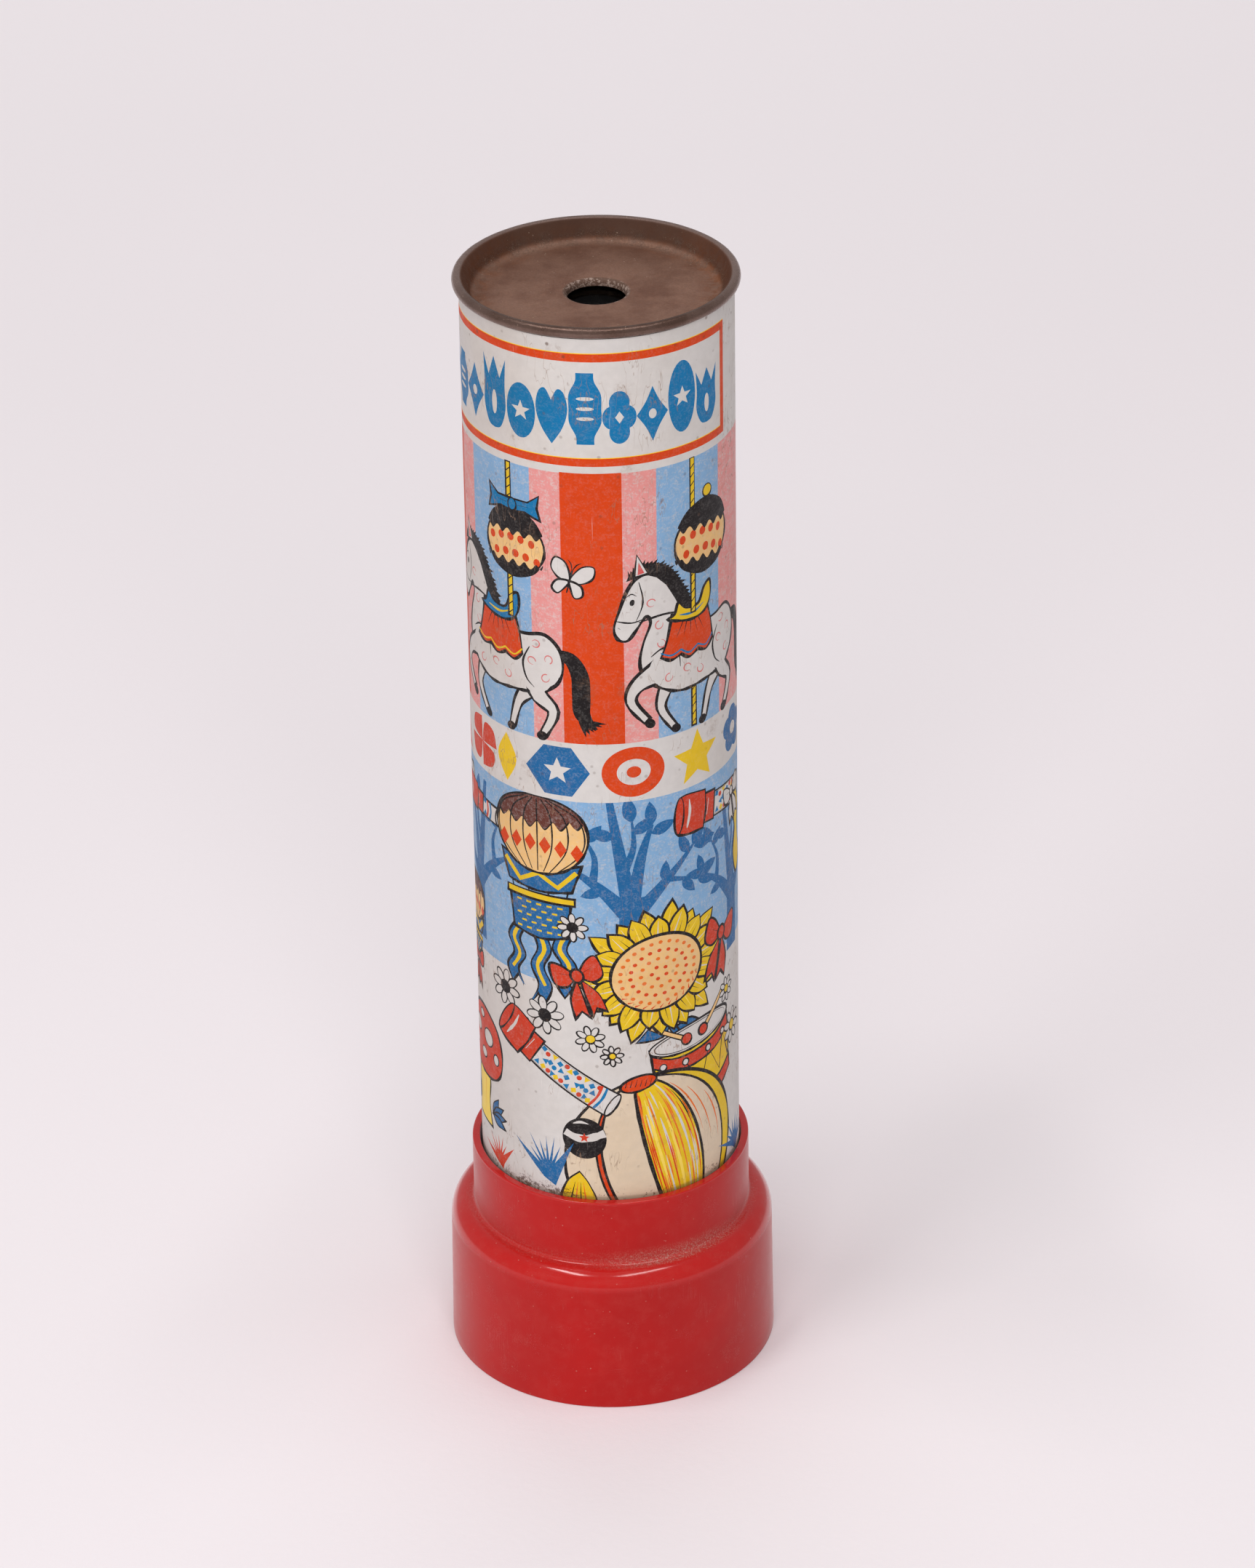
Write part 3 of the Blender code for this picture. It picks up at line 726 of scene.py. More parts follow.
class Pen:
    """Draws on the label in its own place, size and direction. faces holds (points, ink, strength)."""

    def __init__(self, faces, origin, size, turn, side):
        self.faces = faces
        self.origin = origin
        self.size = size
        self.turn = turn                # radians
        self.side = side                # -1 for a mirror image

    def at(self, u, v, size=1.0, turn=0.0, flip=False):
        """A pen at a place in this pen's own measure, turned by some degrees."""
        (origin,) = self.placed([(u, v)])
        turn = self.turn + math.radians(turn) * self.side
        return Pen(self.faces, origin, self.size * size, turn, -self.side if flip else self.side)

    def placed(self, points):
        """Points in the pen's measure, as points on the label."""
        cosine, sine = math.cos(self.turn), math.sin(self.turn)
        result = []
        for x, y in points:
            x, y = x * self.size * self.side, y * self.size
            result.append((self.origin[0] + x * cosine - y * sine, self.origin[1] + x * sine + y * cosine))
        return result

    def paint(self, points, ink):
        """Paint an outline that is already in the label's own measure."""
        points = unique(points)
        if len(points) > 2:
            self.faces.append((points, ink, 1.0))

    def fill(self, points, ink):
        """A flat area of one ink."""
        self.paint(self.placed(points), ink)

    def shape(self, points, ink, width=0.42):
        """A coloured area with a black brush line round it."""
        points = unique(self.placed(points))
        self.paint(grown(points, 0.5 * width, 0.35), "black")
        area = grown(points, -0.5 * width, 0.25)
        if ink in ("orange", "red", "yellow"):
            area = [(x + PLATE_SLIP[0], y + PLATE_SLIP[1]) for x, y in area]
        self.paint(area, ink)

    def patch(self, points, ink):
        """A coloured area that curves through the points."""
        self.fill(smooth(points), ink)

    def blob(self, points, ink, width=0.42):
        """A coloured area that curves through the points, with a black brush line round it."""
        self.shape(smooth(points), ink, width)

    def line(self, points, ink="black", width=0.36, start=0.35, end=0.2, curved=True, strength=1.0):
        """A brush stroke, whose ends are start and end times as wide as its middle."""
        points = self.placed(points)
        if curved and len(points) > 2:
            points = smooth(points, closed=False)
        points = unique(points)
        last = len(points) - 1
        if last < 1:
            return
        halves = []
        for i, (x, y) in enumerate(points):
            t = i / last
            if t < 0.5:
                share = start + (1.0 - start) * min(t / 0.3, 1.0)
            else:
                share = end + (1.0 - end) * min((1.0 - t) / 0.45, 1.0)
            halves.append(0.5 * width * share * (1.0 + 0.12 * math.sin(2.3 * x + 1.7 * y)))
        left, right = both_sides(points, halves)
        for i in range(last):
            self.faces.append(([right[i], right[i + 1], left[i + 1], left[i]], ink, strength))

    def bar(self, points, ink="black", width=0.36, curved=True):
        """A stroke of the same width from end to end."""
        self.line(points, ink, width, 1.0, 1.0, curved)

    def limb(self, points, widths, ink, width):
        """A bent limb, branch or stalk with a black line round it, or none where width is 0."""
        path = smooth([(x, y, w) for (x, y), w in zip(points, widths)], closed=False)
        left, right = both_sides([(x, y) for x, y, _ in path], [0.5 * w for _, _, w in path])
        outline = right + left[::-1]
        if width:
            self.shape(outline, ink, width)
        else:
            self.fill(outline, ink)

    def tuft(self, spikes, length, ink, spread):
        """A spiky clump of grass, fanned out by spread degrees to either side of straight up."""
        outline = [(0.1 * length, -0.3 * length), (-0.14 * length, -0.1 * length)]
        notch_reach = 0.3 * length
        for i in range(spikes):
            angle = math.radians(90.0 + spread * (1.0 - 2.0 * i / (spikes - 1)))
            reach = length * (0.86 + 0.24 * math.sin(2.9 * i + 1.0))
            outline.append((reach * math.cos(angle), reach * math.sin(angle)))
            if i < spikes - 1:
                notch = angle - math.radians(spread / (spikes - 1))
                outline.append((notch_reach * math.cos(notch), notch_reach * math.sin(notch)))
        outline.append((0.2 * length, -0.12 * length))
        self.fill(outline, ink)

    def star(self, points, outer, inner, ink):
        """A star with one point straight up."""
        outline = []
        for i in range(2 * points):
            angle = math.radians(90.0 + 180.0 * i / points)
            reach = outer if i % 2 == 0 else inner
            outline.append((reach * math.cos(angle), reach * math.sin(angle)))
        self.fill(outline, ink)

    def daisy(self, reach, heart):
        """White petals round a heart of another ink."""
        petals = 8
        for i in range(petals):
            turn = 360.0 * i / petals
            angle = math.radians(turn)
            u, v = 0.64 * reach * math.cos(angle), 0.64 * reach * math.sin(angle)
            self.shape(oval(u, v, 0.4 * reach, 0.23 * reach, turn, 16), "white", 0.26)
        self.shape(oval(0, 0, 0.34 * reach, 0.34 * reach, count=20), heart, 0.28)


# ---------------------------------------------------------------- label artwork: title band
def frame_bars(pen, left, right, low, high):
    """Orange is red printed over yellow, and the yellow plate sits a little high."""
    level, upright = 1.45, 1.2
    bars = (box(left, high - level, right, high), box(left, low, right, low + level),
            box(left, low, left + upright, high), box(right - upright, low, right, high))
    for bar in bars:
        pen.fill([(u - 0.03, v + 0.15) for u, v in bar], "fringe")
    for bar in bars:
        pen.fill(bar, "orange")


def baluster(pen, height):
    """A turned spindle with a fat middle."""
    waist, belly = 1.6, 2.7
    half = [*sharp((1.5, 0.0)), (waist, 0.12 * height), (belly, 0.3 * height), (2.75, 0.5 * height)]
    half += [(belly, 0.7 * height), (waist, 0.88 * height), *sharp((1.5, height))]
    pen.patch(mirrored(half), "title")
    for level in (0.36, 0.5, 0.64):
        pen.fill(oval(0, level * height, 1.5, 0.34, count=16), "white")


def wheel(pen, height):
    """An upright oval with a star in it."""
    pen.fill(oval(0, 0.5 * height, 2.85, 0.5 * height), "title")
    pen.at(0, 0.5 * height).star(5, 1.9, 0.8, "white")


def quatrefoil(pen, height):
    """Four lobes round a white diamond."""
    middle = 0.5 * height
    for x, y in ((1.35, 0), (-1.35, 0), (0, 0.27 * height), (0, -0.27 * height)):
        pen.fill(oval(x, middle + y, 1.55 if x else 1.75, 0.21 * height, count=24), "title")
    pen.fill([(0.75, middle), (0, middle + 1.1), (-0.75, middle), (0, middle - 1.1)], "white")


def lozenge(pen, height):
    """A diamond with hollow sides and a white oval in it."""
    half = [*sharp((0, 0)), (1.25, 0.27 * height), *sharp((2.85, 0.5 * height)), (1.25, 0.73 * height)]
    pen.patch(half + sharp((0, height)) + [(-x, y) for x, y in reversed(half[2:])], "title")
    pen.fill(oval(0, 0.5 * height, 0.7, 0.9, count=16), "white")


def heart(pen, height, ink="title"):
    """A heart that stands on its point."""
    half = [*sharp((0, 0)), (1.9, 0.3 * height), (2.8, 0.62 * height), (2.3, 0.92 * height), (1.1, height)]
    pen.patch(mirrored(half + sharp((0, 0.8 * height))), ink)


def tulip(pen, height):
    """A flower with three points and a white oval in its cup."""
    half = [(0, 0), (1.5, 0.05 * height), (2.6, 0.3 * height), (2.5, 0.62 * height)]
    half += sharp((2.75, height), (1.35, 0.72 * height), (0, height))
    pen.patch(mirrored(half), "title")
    pen.fill(oval(0, 0.36 * height, 0.6, 0.17 * height, count=16), "white")


def draw_title(pen):
    """The band under the rim: a framed row of bold blue ornaments, and a smaller frame at the back."""
    frame_low, frame_high = 183.6, 204.05
    frame_bars(pen, -71.5, 26.3, frame_low, frame_high)
    frame_bars(pen, -107.0, -75.5, frame_low, frame_high)
    low, tall = 10.0, 13.0
    kinds = (tulip, wheel, lozenge, quatrefoil, baluster, heart, wheel, tulip, lozenge, baluster, quatrefoil)
    for i in range(16):
        height = tall if i % 3 == 1 else low
        kinds[i % len(kinds)](pen.at(20.9 - 5.76 * i, 187.5 + 0.15 * math.sin(2.0 * i)), height)
    for i in range(5):
        kinds[i + 2](pen.at(-103.0 + 5.9 * i, 187.6), tall if i % 2 else low)


# ---------------------------------------------------------------- label artwork: carousel
STRIPE_LOW = 131.4
STRIPE_TOP = 182.2


def draw_stripes(pen):
    """Tent stripes that repeat once for each horse: blue, pink, orange, pink."""
    pen.fill(box(START - LAP_UNDER, STRIPE_LOW, LAP_EDGE, STRIPE_TOP), "pink")
    sky_width = 14.3
    for turn in range(5):
        shift = -HORSE_STEP * turn
        ripple = [(9.8, 0.0), (9.75, 0.5), (9.85, 1.0)]
        left = [(u + shift, STRIPE_LOW + t * (STRIPE_TOP - STRIPE_LOW)) for u, t in ripple]
        right = [(u + sky_width, v) for u, v in reversed(left)]
        pen.fill(left + right, "sky")
        if turn:
            pen.fill(box(29.7 + shift, STRIPE_LOW, 40.2 + shift, STRIPE_TOP + 0.15), "orange")


def ragged(path, depth):
    """The same path with a short tuft of hair at every other point, on its left side."""
    result = []
    for i, (x, y) in enumerate(path):
        ahead = path[min(i + 1, len(path) - 1)]
        behind = path[max(i - 1, 0)]
        dx, dy = ahead[0] - behind[0], ahead[1] - behind[1]
        size = math.hypot(dx, dy)
        reach = depth * (0.7 + 0.4 * math.sin(1.9 * i)) if i % 2 else 0.0
        result.append((x + (0.6 * dx - dy) / size * reach, y + (0.6 * dy + dx) / size * reach))
    return result


def draw_horse(pen, seat, strap):
    """A white carousel horse on its pole, facing left. The nose is at (0, 0)."""
    # far legs, tail and trunk
    pen.limb([(9.2, -11.5), (8.0, -15.6), (10.6, -20.0)], (2.8, 1.7, 1.3), "white", 0.44)
    pen.limb([(20.8, -12.5), (18.6, -15.4), (17.2, -20.2)], (3.2, 1.8, 1.3), "white", 0.44)
    for x, y, turn in ((10.9, -20.3, -25), (16.9, -20.6, 12)):
        pen.shape(oval(x, y, 0.85, 0.75, turn, 14), "black", 0.2)
    tail = [(25.4, -4.8), (28.6, -5.3), (30.3, -8.4), (30.5, -12.4), (30.7, -15.8), (33.0, -18.6)]
    pen.limb(tail, (1.8, 2.5, 3.1, 3.2, 2.8, 0.5), "black", 0)
    for i in range(6):
        hair = [(30.2, -13.0), (30.5, -16.6), (31.2 + 0.7 * i, -20.0 + 0.5 * i)]
        pen.line(hair, "black", 1.2, 1.0, 0.05)
    trunk = [(0.5, -1.5), (-0.2, 0.6), (0.8, 4.0), (2.2, 7.6), (3.8, 9.6), (6.0, 10.2), (9.0, 8.6),
             (11.6, 4.8), (13.6, 0.2), (16.4, -1.8), (20.4, -1.9), (24.2, -1.4), (26.9, -4.0), (27.3, -8.2),
             (25.4, -11.4), (22.4, -12.6), (17.6, -13.1), (12.2, -13.4), (8.2, -12.0), (5.2, -9.6),
             (4.2, -6.4), (4.9, -2.6), (6.2, 0.8), (5.4, 2.2), (3.7, 0.0), (2.1, -1.9)]
    pen.blob(trunk, "white", 0.56)
    # near legs, which run into the trunk
    pen.limb([(23.6, -8.4), (22.6, -12.6), (25.5, -15.8), (23.6, -20.4)], (6.0, 3.6, 2.0, 1.4), "white", 0.5)
    pen.fill(oval(23.4, -7.2, 3.5, 4.2, 12, 24), "white")
    pen.fill(oval(22.3, -10.4, 2.6, 2.4, 30, 20), "white")
    pen.shape(oval(23.3, -20.8, 0.95, 0.8, 10, 14), "black", 0.2)
    pen.limb([(8.6, -8.2), (4.0, -10.4), (2.6, -13.6), (5.4, -17.6)], (5.0, 2.8, 1.8, 1.4), "white", 0.5)
    pen.fill(oval(9.3, -8.2, 3.5, 3.3, 20, 22), "white")
    pen.shape(oval(5.9, -18.2, 0.95, 0.8, -35, 14), "black", 0.2)
    pen.line([(6.2, -5.6), (8.6, -4.4), (11.4, -6.0), (11.9, -8.8)], width=0.4)
    pen.line([(21.2, -4.2), (19.8, -7.2), (20.4, -10.2), (22.0, -11.8)], width=0.44)
    # mane, ear, eye and bridle
    crest = [(2.4, 10.2), (4.4, 11.9), (7.4, 11.9), (10.0, 10.4), (12.0, 7.6), (13.8, 4.4), (15.4, 0.4)]
    roots = [(16.4, -1.6), (14.2, -1.6), (12.3, 1.6), (10.8, 4.6), (9.2, 7.4), (7.4, 9.2), (5.2, 10.2),
             (3.4, 9.6), (2.0, 9.2)]
    pen.fill(ragged(smooth(crest, closed=False, steps=9), 0.8) + roots, "black")
    pen.shape([(3.4, 9.8), (3.9, 14.0), (5.9, 10.3)], "white", 0.36)
    pen.fill([(4.0, 10.2), (4.2, 12.6), (5.2, 10.5)], "rose")
    pen.shape(oval(3.0, 5.2, 0.36, 0.52, -15, 12), "black", 0.15)
    pen.line([(2.0, 6.3), (2.9, 6.8), (3.8, 6.3)], width=0.22)
    pen.line([(0.5, 0.7), (0.9, 0.4)], width=0.3)
    pen.line([(0.0, 2.0), (2.8, 1.4), (5.2, 1.9)], width=0.3)
    pen.line([(4.2, 8.9), (4.9, 5.0), (3.6, 1.5)], width=0.3)
    pen.line([(4.1, 1.3), (8.6, 2.0), (13.6, 1.4)], width=0.42)
    # dapples: small open rings
    places = ((6.4, 4.6), (7.8, 0.2), (8.2, -3.4), (10.6, -1.6), (12.6, -5.2), (13.4, -9.4), (9.6, -10.2),
              (16.4, -10.6), (22.4, -3.4), (24.8, -6.0), (21.6, -6.8), (24.2, -9.6))
    for i, (x, y) in enumerate(places):
        ring = oval(x, y, 0.78, 0.7, 70.0 * i, 11, 20.0, 310.0)
        pen.line(ring, "rose", 0.24, 0.7, 0.3, curved=False, strength=0.85)
    # saddle cloth with a scalloped hem, then the saddle
    cloth = [*sharp((10.6, 0.2)), (9.6, -4.6), *sharp((8.6, -7.4)), (10.4, -8.3), *sharp((12.2, -7.7)),
             (13.8, -8.8), *sharp((15.6, -7.9)), (17.4, -8.7), *sharp((19.0, -7.2)), (18.6, -3.6),
             *sharp((17.6, 0.4))]
    cloth = [(x * 1.12 - 1.6, y + 1.2) for x, y in cloth]
    pen.blob(cloth, "orange", 0.5)
    middle = 0.5 * (cloth[0][0] + cloth[-1][0])
    for i in range(5):
        reach = (i - 2) * 1.7
        fold = [(middle + 0.4 * reach, cloth[0][1] - 1.2), (middle + 0.9 * reach, cloth[0][1] - 4.6)]
        pen.line(fold, width=0.26, start=1.0, end=0.1)
    pen.line([(x, y + 0.9) for x, y in cloth[4:14]], strap, 0.34, 0.8, 0.8)
    saddle = pen.at(middle, 0.0)
    saddle.blob([(-4.6, 0.6), (-3.4, 1.4), (-2.6, 3.4), (-1.0, 2.0), (1.8, 1.9), (3.2, 4.4), (4.8, 5.2),
                 (4.9, 2.2), (3.4, 0.0), (0.0, -0.6)], seat, 0.48)
    saddle.line([(-2.4, 1.0), (0.6, 0.6), (3.2, 1.6)], strap, 0.4)


def draw_finial(pen, flags):
    """Ornament on a horse's pole: a dotted ball between black scalloped cups, with or without flags."""
    pen.shape(oval(0, 0, 6.3, 5.4), "tan", 0.54)
    for row, y in enumerate((1.4, -1.5)):
        for i in range(5):
            x = 2.15 * (i - 2) + 1.0 * (row - 0.5)
            pen.fill(oval(x, y - 0.035 * x * x, 0.72 - 0.05 * abs(i - 2), 0.76, count=16), "orange")
    for side, reach in ((1, 7.2), (-1, -6.0)):
        brim, shoulder = 0.44 * reach, 0.8 * reach
        cup = [(-5.9, brim), (-4.0, shoulder), (0.0, reach), (4.0, shoulder), (5.9, brim)]
        for i in range(5):
            x = 4.72 - 2.36 * i
            dip = 0.36 * reach if side > 0 else 0.6 * reach
            cup += [(x + 0.9, dip), (x, dip - side * 0.9), (x - 0.9, dip)]
        pen.patch(cup, "black")
    if flags:
        for side in (-1, 1):
            flag = [(0, 6.4), (0, 8.6), (3.2, 8.6), (5.4, 10.2), (5.0, 7.8), (5.6, 5.6), (2.6, 6.6)]
            pen.shape([(side * x, y) for x, y in flag], "title", 0.4)
            pen.line([(side * 1.2, 7.6), (side * 3.4, 7.7)], width=0.26)
        pen.shape(oval(0, 7.5, 0.9, 1.2, count=16), "title", 0.36)
    else:
        pen.shape(oval(0, 8.1, 1.1, 1.1, count=16), "yellow", 0.34)


def draw_pole(pen, low, high):
    """A yellow pole with a spiral line."""
    pen.shape(box(-0.5, low, 0.5, high), "yellow", 0.3)
    pitch = 1.6
    for i in range(int((high - low) / pitch)):
        y = low + 0.4 + pitch * i
        pen.bar([(-0.45, y), (0.45, y + 0.8)], width=0.2)


def draw_butterfly(pen):
    """A white butterfly with its wings spread."""
    upper = [(0, 0), (1.4, 3.0), (3.6, 3.6), (3.9, 1.4), (2.0, -0.2)]
    lower = [(0, -0.2), (2.2, -0.6), (2.9, -2.4), (1.6, -3.2), (0.5, -1.6)]
    for side in (-1, 1):
        for wing in (upper, lower):
            pen.blob([(side * x, y) for x, y in wing], "white", 0.34)
    pen.line([(0, 2.0), (0, -2.6)], width=0.7, start=0.6, end=0.3)
    for side in (-1, 1):
        pen.line([(0, 1.8), (side * 0.5, 3.2), (side * 1.3, 3.9)], width=0.22)


def draw_carousel(pen):
    """Four horses on their poles, in front of the stripes, with two kinds of trappings by turns."""
    draw_stripes(pen)
    nose_height = 152.8
    for turn in range(4):
        horse = pen.at(2.3 - HORSE_STEP * turn, nose_height)
        plain = turn % 2 == 0
        pole = horse.at(14.8 if plain else 17.4, 0)
        draw_pole(pole, -21.0 if plain else 0.0, STRIPE_TOP - nose_height)
        seat, strap = ("yellow", "title") if plain else ("title", "yellow")
        draw_horse(horse, seat, strap)
        draw_pole(pole, 0.6, 9.5)
        if plain:
            draw_finial(horse.at(17.6, 13.6, 1.06, -6.0), flags=False)
        else:
            draw_finial(horse.at(18.2, 14.2), flags=True)
            draw_butterfly(horse.at(28.9, 9.6, 0.95, -14.0))


# ---------------------------------------------------------------- label artwork: band of shapes
BAND_LOW = 120.1
BAND_MIDDLE = 125.75
BAND_HALF = 4.7                         # half the height of a shape on the band


def draw_pinwheel(pen, ink):
    """A toy windmill of four bent sails."""
    reach = BAND_HALF
    for i in range(4):
        sail = sharp((0, 0), (reach, 0.1)) + [(0.8 * reach, 0.72 * reach), (0.2 * reach, reach * 0.82)]
        pen.at(0, 0, turn=90.0 * i).patch(sail, ink)


def draw_band(pen):
    """White band with a row of bold coloured shapes."""
    pen.fill(box(START - LAP_UNDER, BAND_LOW, LAP_EDGE, STRIPE_LOW), "paper")
    h = BAND_HALF
    shapes = pen.at(0, BAND_MIDDLE)
    draw_pinwheel(shapes.at(-26.0, 0), "red")
    shapes.patch([*sharp((-18.6, -h)), (-16.3, 0), *sharp((-18.6, h)), (-20.9, 0)], "yellow")
    shapes.fill([(-14.2, 0), (-10.6, h), (-5.6, h), (-2.4, 0), (-5.6, -h), (-10.6, -h)], "blue")
    shapes.at(-8.2, 0).star(5, 2.6, 1.15, "white")
    shapes.fill(oval(5.2, 0, 5.6, h + 0.1, count=48), "orange")
    shapes.fill(oval(5.2, 0, 3.0, 2.5, count=36), "white")
    shapes.fill(oval(5.2, 0, 1.3, 1.1, count=20), "orange")
    shapes.at(17.8, -0.3).star(5, 5.4, 2.5, "yellow")
    flower = shapes.at(29.8, 0)
    for i in range(5):
        angle = math.radians(90 + 72 * i)
        flower.fill(oval(2.4 * math.cos(angle), 2.4 * math.sin(angle), 2.0, 2.0, count=24), "blue")
    flower.fill(oval(0, 0, 1.2, 1.2, count=20), "white")
    round_back = ((-37.0, "red", "triangle"), (-47.0, "yellow", "heart"), (-57.0, "blue", "star"),
                  (-67.0, "orange", "pinwheel"), (-77.0, "yellow", "triangle"), (-87.0, "blue", "heart"),
                  (-97.0, "orange", "star"), (-106.0, "blue", "pinwheel"))
    for u, ink, kind in round_back:
        place = shapes.at(u, 0)
        if kind == "triangle":
            place.fill([(-4.6, -h), (4.6, -h), (0, h)], ink)
            place.fill([(-1.5, -2.9), (1.5, -2.9), (0, 0.3)], "white")
        elif kind == "heart":
            heart(place.at(0, -h, 1.05), 9.0, ink)
        elif kind == "star":
            place.star(8, 5.0, 3.0, ink)
            place.fill(oval(0, 0, 1.5, 1.5, count=24), "white")
        else:
            draw_pinwheel(place, ink)


# ---------------------------------------------------------------- label artwork: garden
def leaf(pen, length):
    """A pointed blue leaf that grows along +x from its stalk."""
    broad = 0.44 * length
    upper = [(0.3 * length, 0.5 * broad), (0.68 * length, 0.42 * broad)]
    lower = [(x, -y) for x, y in reversed(upper)]
    pen.patch([*sharp((0, 0)), *upper, *sharp((length, 0)), *lower], "blue")


def outlined_leaf(pen, length, middle, upper, lower, width=0.36):
    """A blue leaf along +x with a black line round it, as broad as upper and lower at its middle."""
    pen.blob([*sharp((0, 0)), (middle, upper), *sharp((length, 0)), (middle, -lower)], "blue", width)


def draw_tree(pen):
    """A flat blue tree: a trunk that forks, with single leaves at the ends of its branches."""
    branches = (
        (((0, -16), (0.1, -6), (0, 0)), (5.2, 4.8, 4.6)),
        (((0, -3), (-1.6, 6), (-3.8, 20)), (3.4, 2.4, 1.2)),
        (((0, -2), (1.8, 8), (3.8, 14)), (2.8, 1.8, 0.7)),
        (((0, -4), (-5.6, 2.2), (-11.4, 6.4)), (3.4, 2.0, 0.6)),
        (((0, -4), (5.8, 1.8), (12.0, 7.6)), (3.2, 1.9, 0.6)),
        (((-1.4, 5), (0.4, 10), (0.2, 15)), (1.6, 1.1, 0.4)),
        (((-6.8, 3.2), (-6.4, 8.2), (-8.4, 12.6)), (1.6, 1.0, 0.4)),
        (((6.6, 2.6), (9.6, 1.8), (13.4, 1.0)), (1.2, 0.8, 0.3)))
    for path, widths in branches:
        pen.limb(path, widths, "blue", 0)
    leaves = ((-11.0, 6.4, 165, 5.0), (-11.4, 6.8, 105, 4.6), (-8.4, 12.4, 120, 5.2), (-8.0, 11.2, 50, 4.6),
              (0.2, 14.8, 100, 5.4), (0.3, 12.6, 35, 5.0), (3.8, 13.8, 95, 4.8), (3.6, 12.2, 20, 5.0),
              (12.0, 7.4, 60, 5.4), (12.2, 7.2, 5, 5.6), (11.0, 6.4, 115, 4.6), (13.4, 1.0, 20, 5.0),
              (13.0, 1.2, -35, 4.6), (9.6, 1.8, -50, 4.4), (-4.9, 2.0, 200, 4.4), (6.0, 2.2, 85, 4.2),
              (-2.9, 12.0, 160, 5.0))
    for x, y, turn, length in leaves:
        leaf(pen.at(x, y, turn=turn), length)


def draw_toy_tube(pen, length, radius):
    """A drawn toy kaleidoscope that points along +x, its red end at the origin."""
    wide = 1.55 * radius
    pen.shape(box(6.5, -radius, length, radius), "white")
    specks = ("title", "orange", "yellow", "title", "red", "sky")
    pitch = 1.15
    for i in range(int((length - 12.0) / pitch)):
        for row in range(3):
            x = 9.4 + pitch * i + 0.3 * math.sin(2.0 * row + i)
            y = (row - 1) * 0.62 * radius + 0.25 * math.sin(3.1 * i + row)
            ink = specks[(2 * i + 3 * row + i * row) % len(specks)]
            kind = (i + 2 * row) % 3
            spot = pen.at(x, y, turn=57.0 * i + 40 * row)
            if kind == 0:
                spot.fill([(-0.62, -0.4), (0.62, -0.4), (0, 0.7)], ink)
            elif kind == 1:
                spot.fill(box(-0.46, -0.46, 0.46, 0.46), ink)
            elif row != 1 or i % 2:
                spot.fill(oval(0, 0, 0.5, count=10), ink)
    for side in (-1, 1):
        pen.line([(8.6, side * radius * 0.86), (length - 4.0, side * radius * 0.86)], width=0.2)
    for back, ink in ((3.6, "red"), (2.6, "title")):
        x = length - back
        pen.bar([(x, -0.95 * radius), (x + 0.35, 0), (x, 0.95 * radius)], ink, 0.5)
    pen.shape(oval(length, 0, 0.75, radius, count=24), "white", 0.36)
    pen.shape(box(5.2, -1.2 * radius, 8.4, 1.2 * radius), "red")
    cap = [(0, -wide), *sharp((5.6, -wide)), (6.0, 0), *sharp((5.6, wide)), (0, wide), (-0.9, 0)]
    pen.blob(cap, "red", 0.46)
    pen.shape(oval(-0.2, 0, 0.95, wide * 0.98, count=28), "red", 0.36)
    pen.line([(1.7, -0.72 * wide), (2.1, 0.1 * wide), (1.8, 0.78 * wide)], "white", 0.6, 0.3, 0.3)
    pen.line([(6.4, -0.6 * radius), (6.7, 0.7 * radius)], "white", 0.32, 0.4, 0.4)


def draw_ribbons(pen):
    """Three wavy ribbons with notched ends, which hang below a balloon's basket."""
    top, half = -18.6, 1.35
    for i, (x, length) in enumerate(((-4.6, 11.0), (0.2, 13.5), (4.4, 11.5))):
        foot = -20.0 - length
        path = []
        for j in range(5):
            sway = 0.75 * (-1) ** (j + i)
            path.append((x * (1.0 + 0.05 * j) + sway, top + (foot - top) * j / 4.0))
        left = [(u - half, v) for u, v in path]
        right = [(u + half, v) for u, v in reversed(path)]
        notch = (path[-1][0], path[-1][1] + 1.9)
        corners = sharp(left[-1], notch, right[0])
        pen.blob(left[:1] + left[:-1] + corners + right[1:] + right[-1:], "blue")
        pen.line(path[:-1], "yellow", 0.8, 0.9, 0.7)


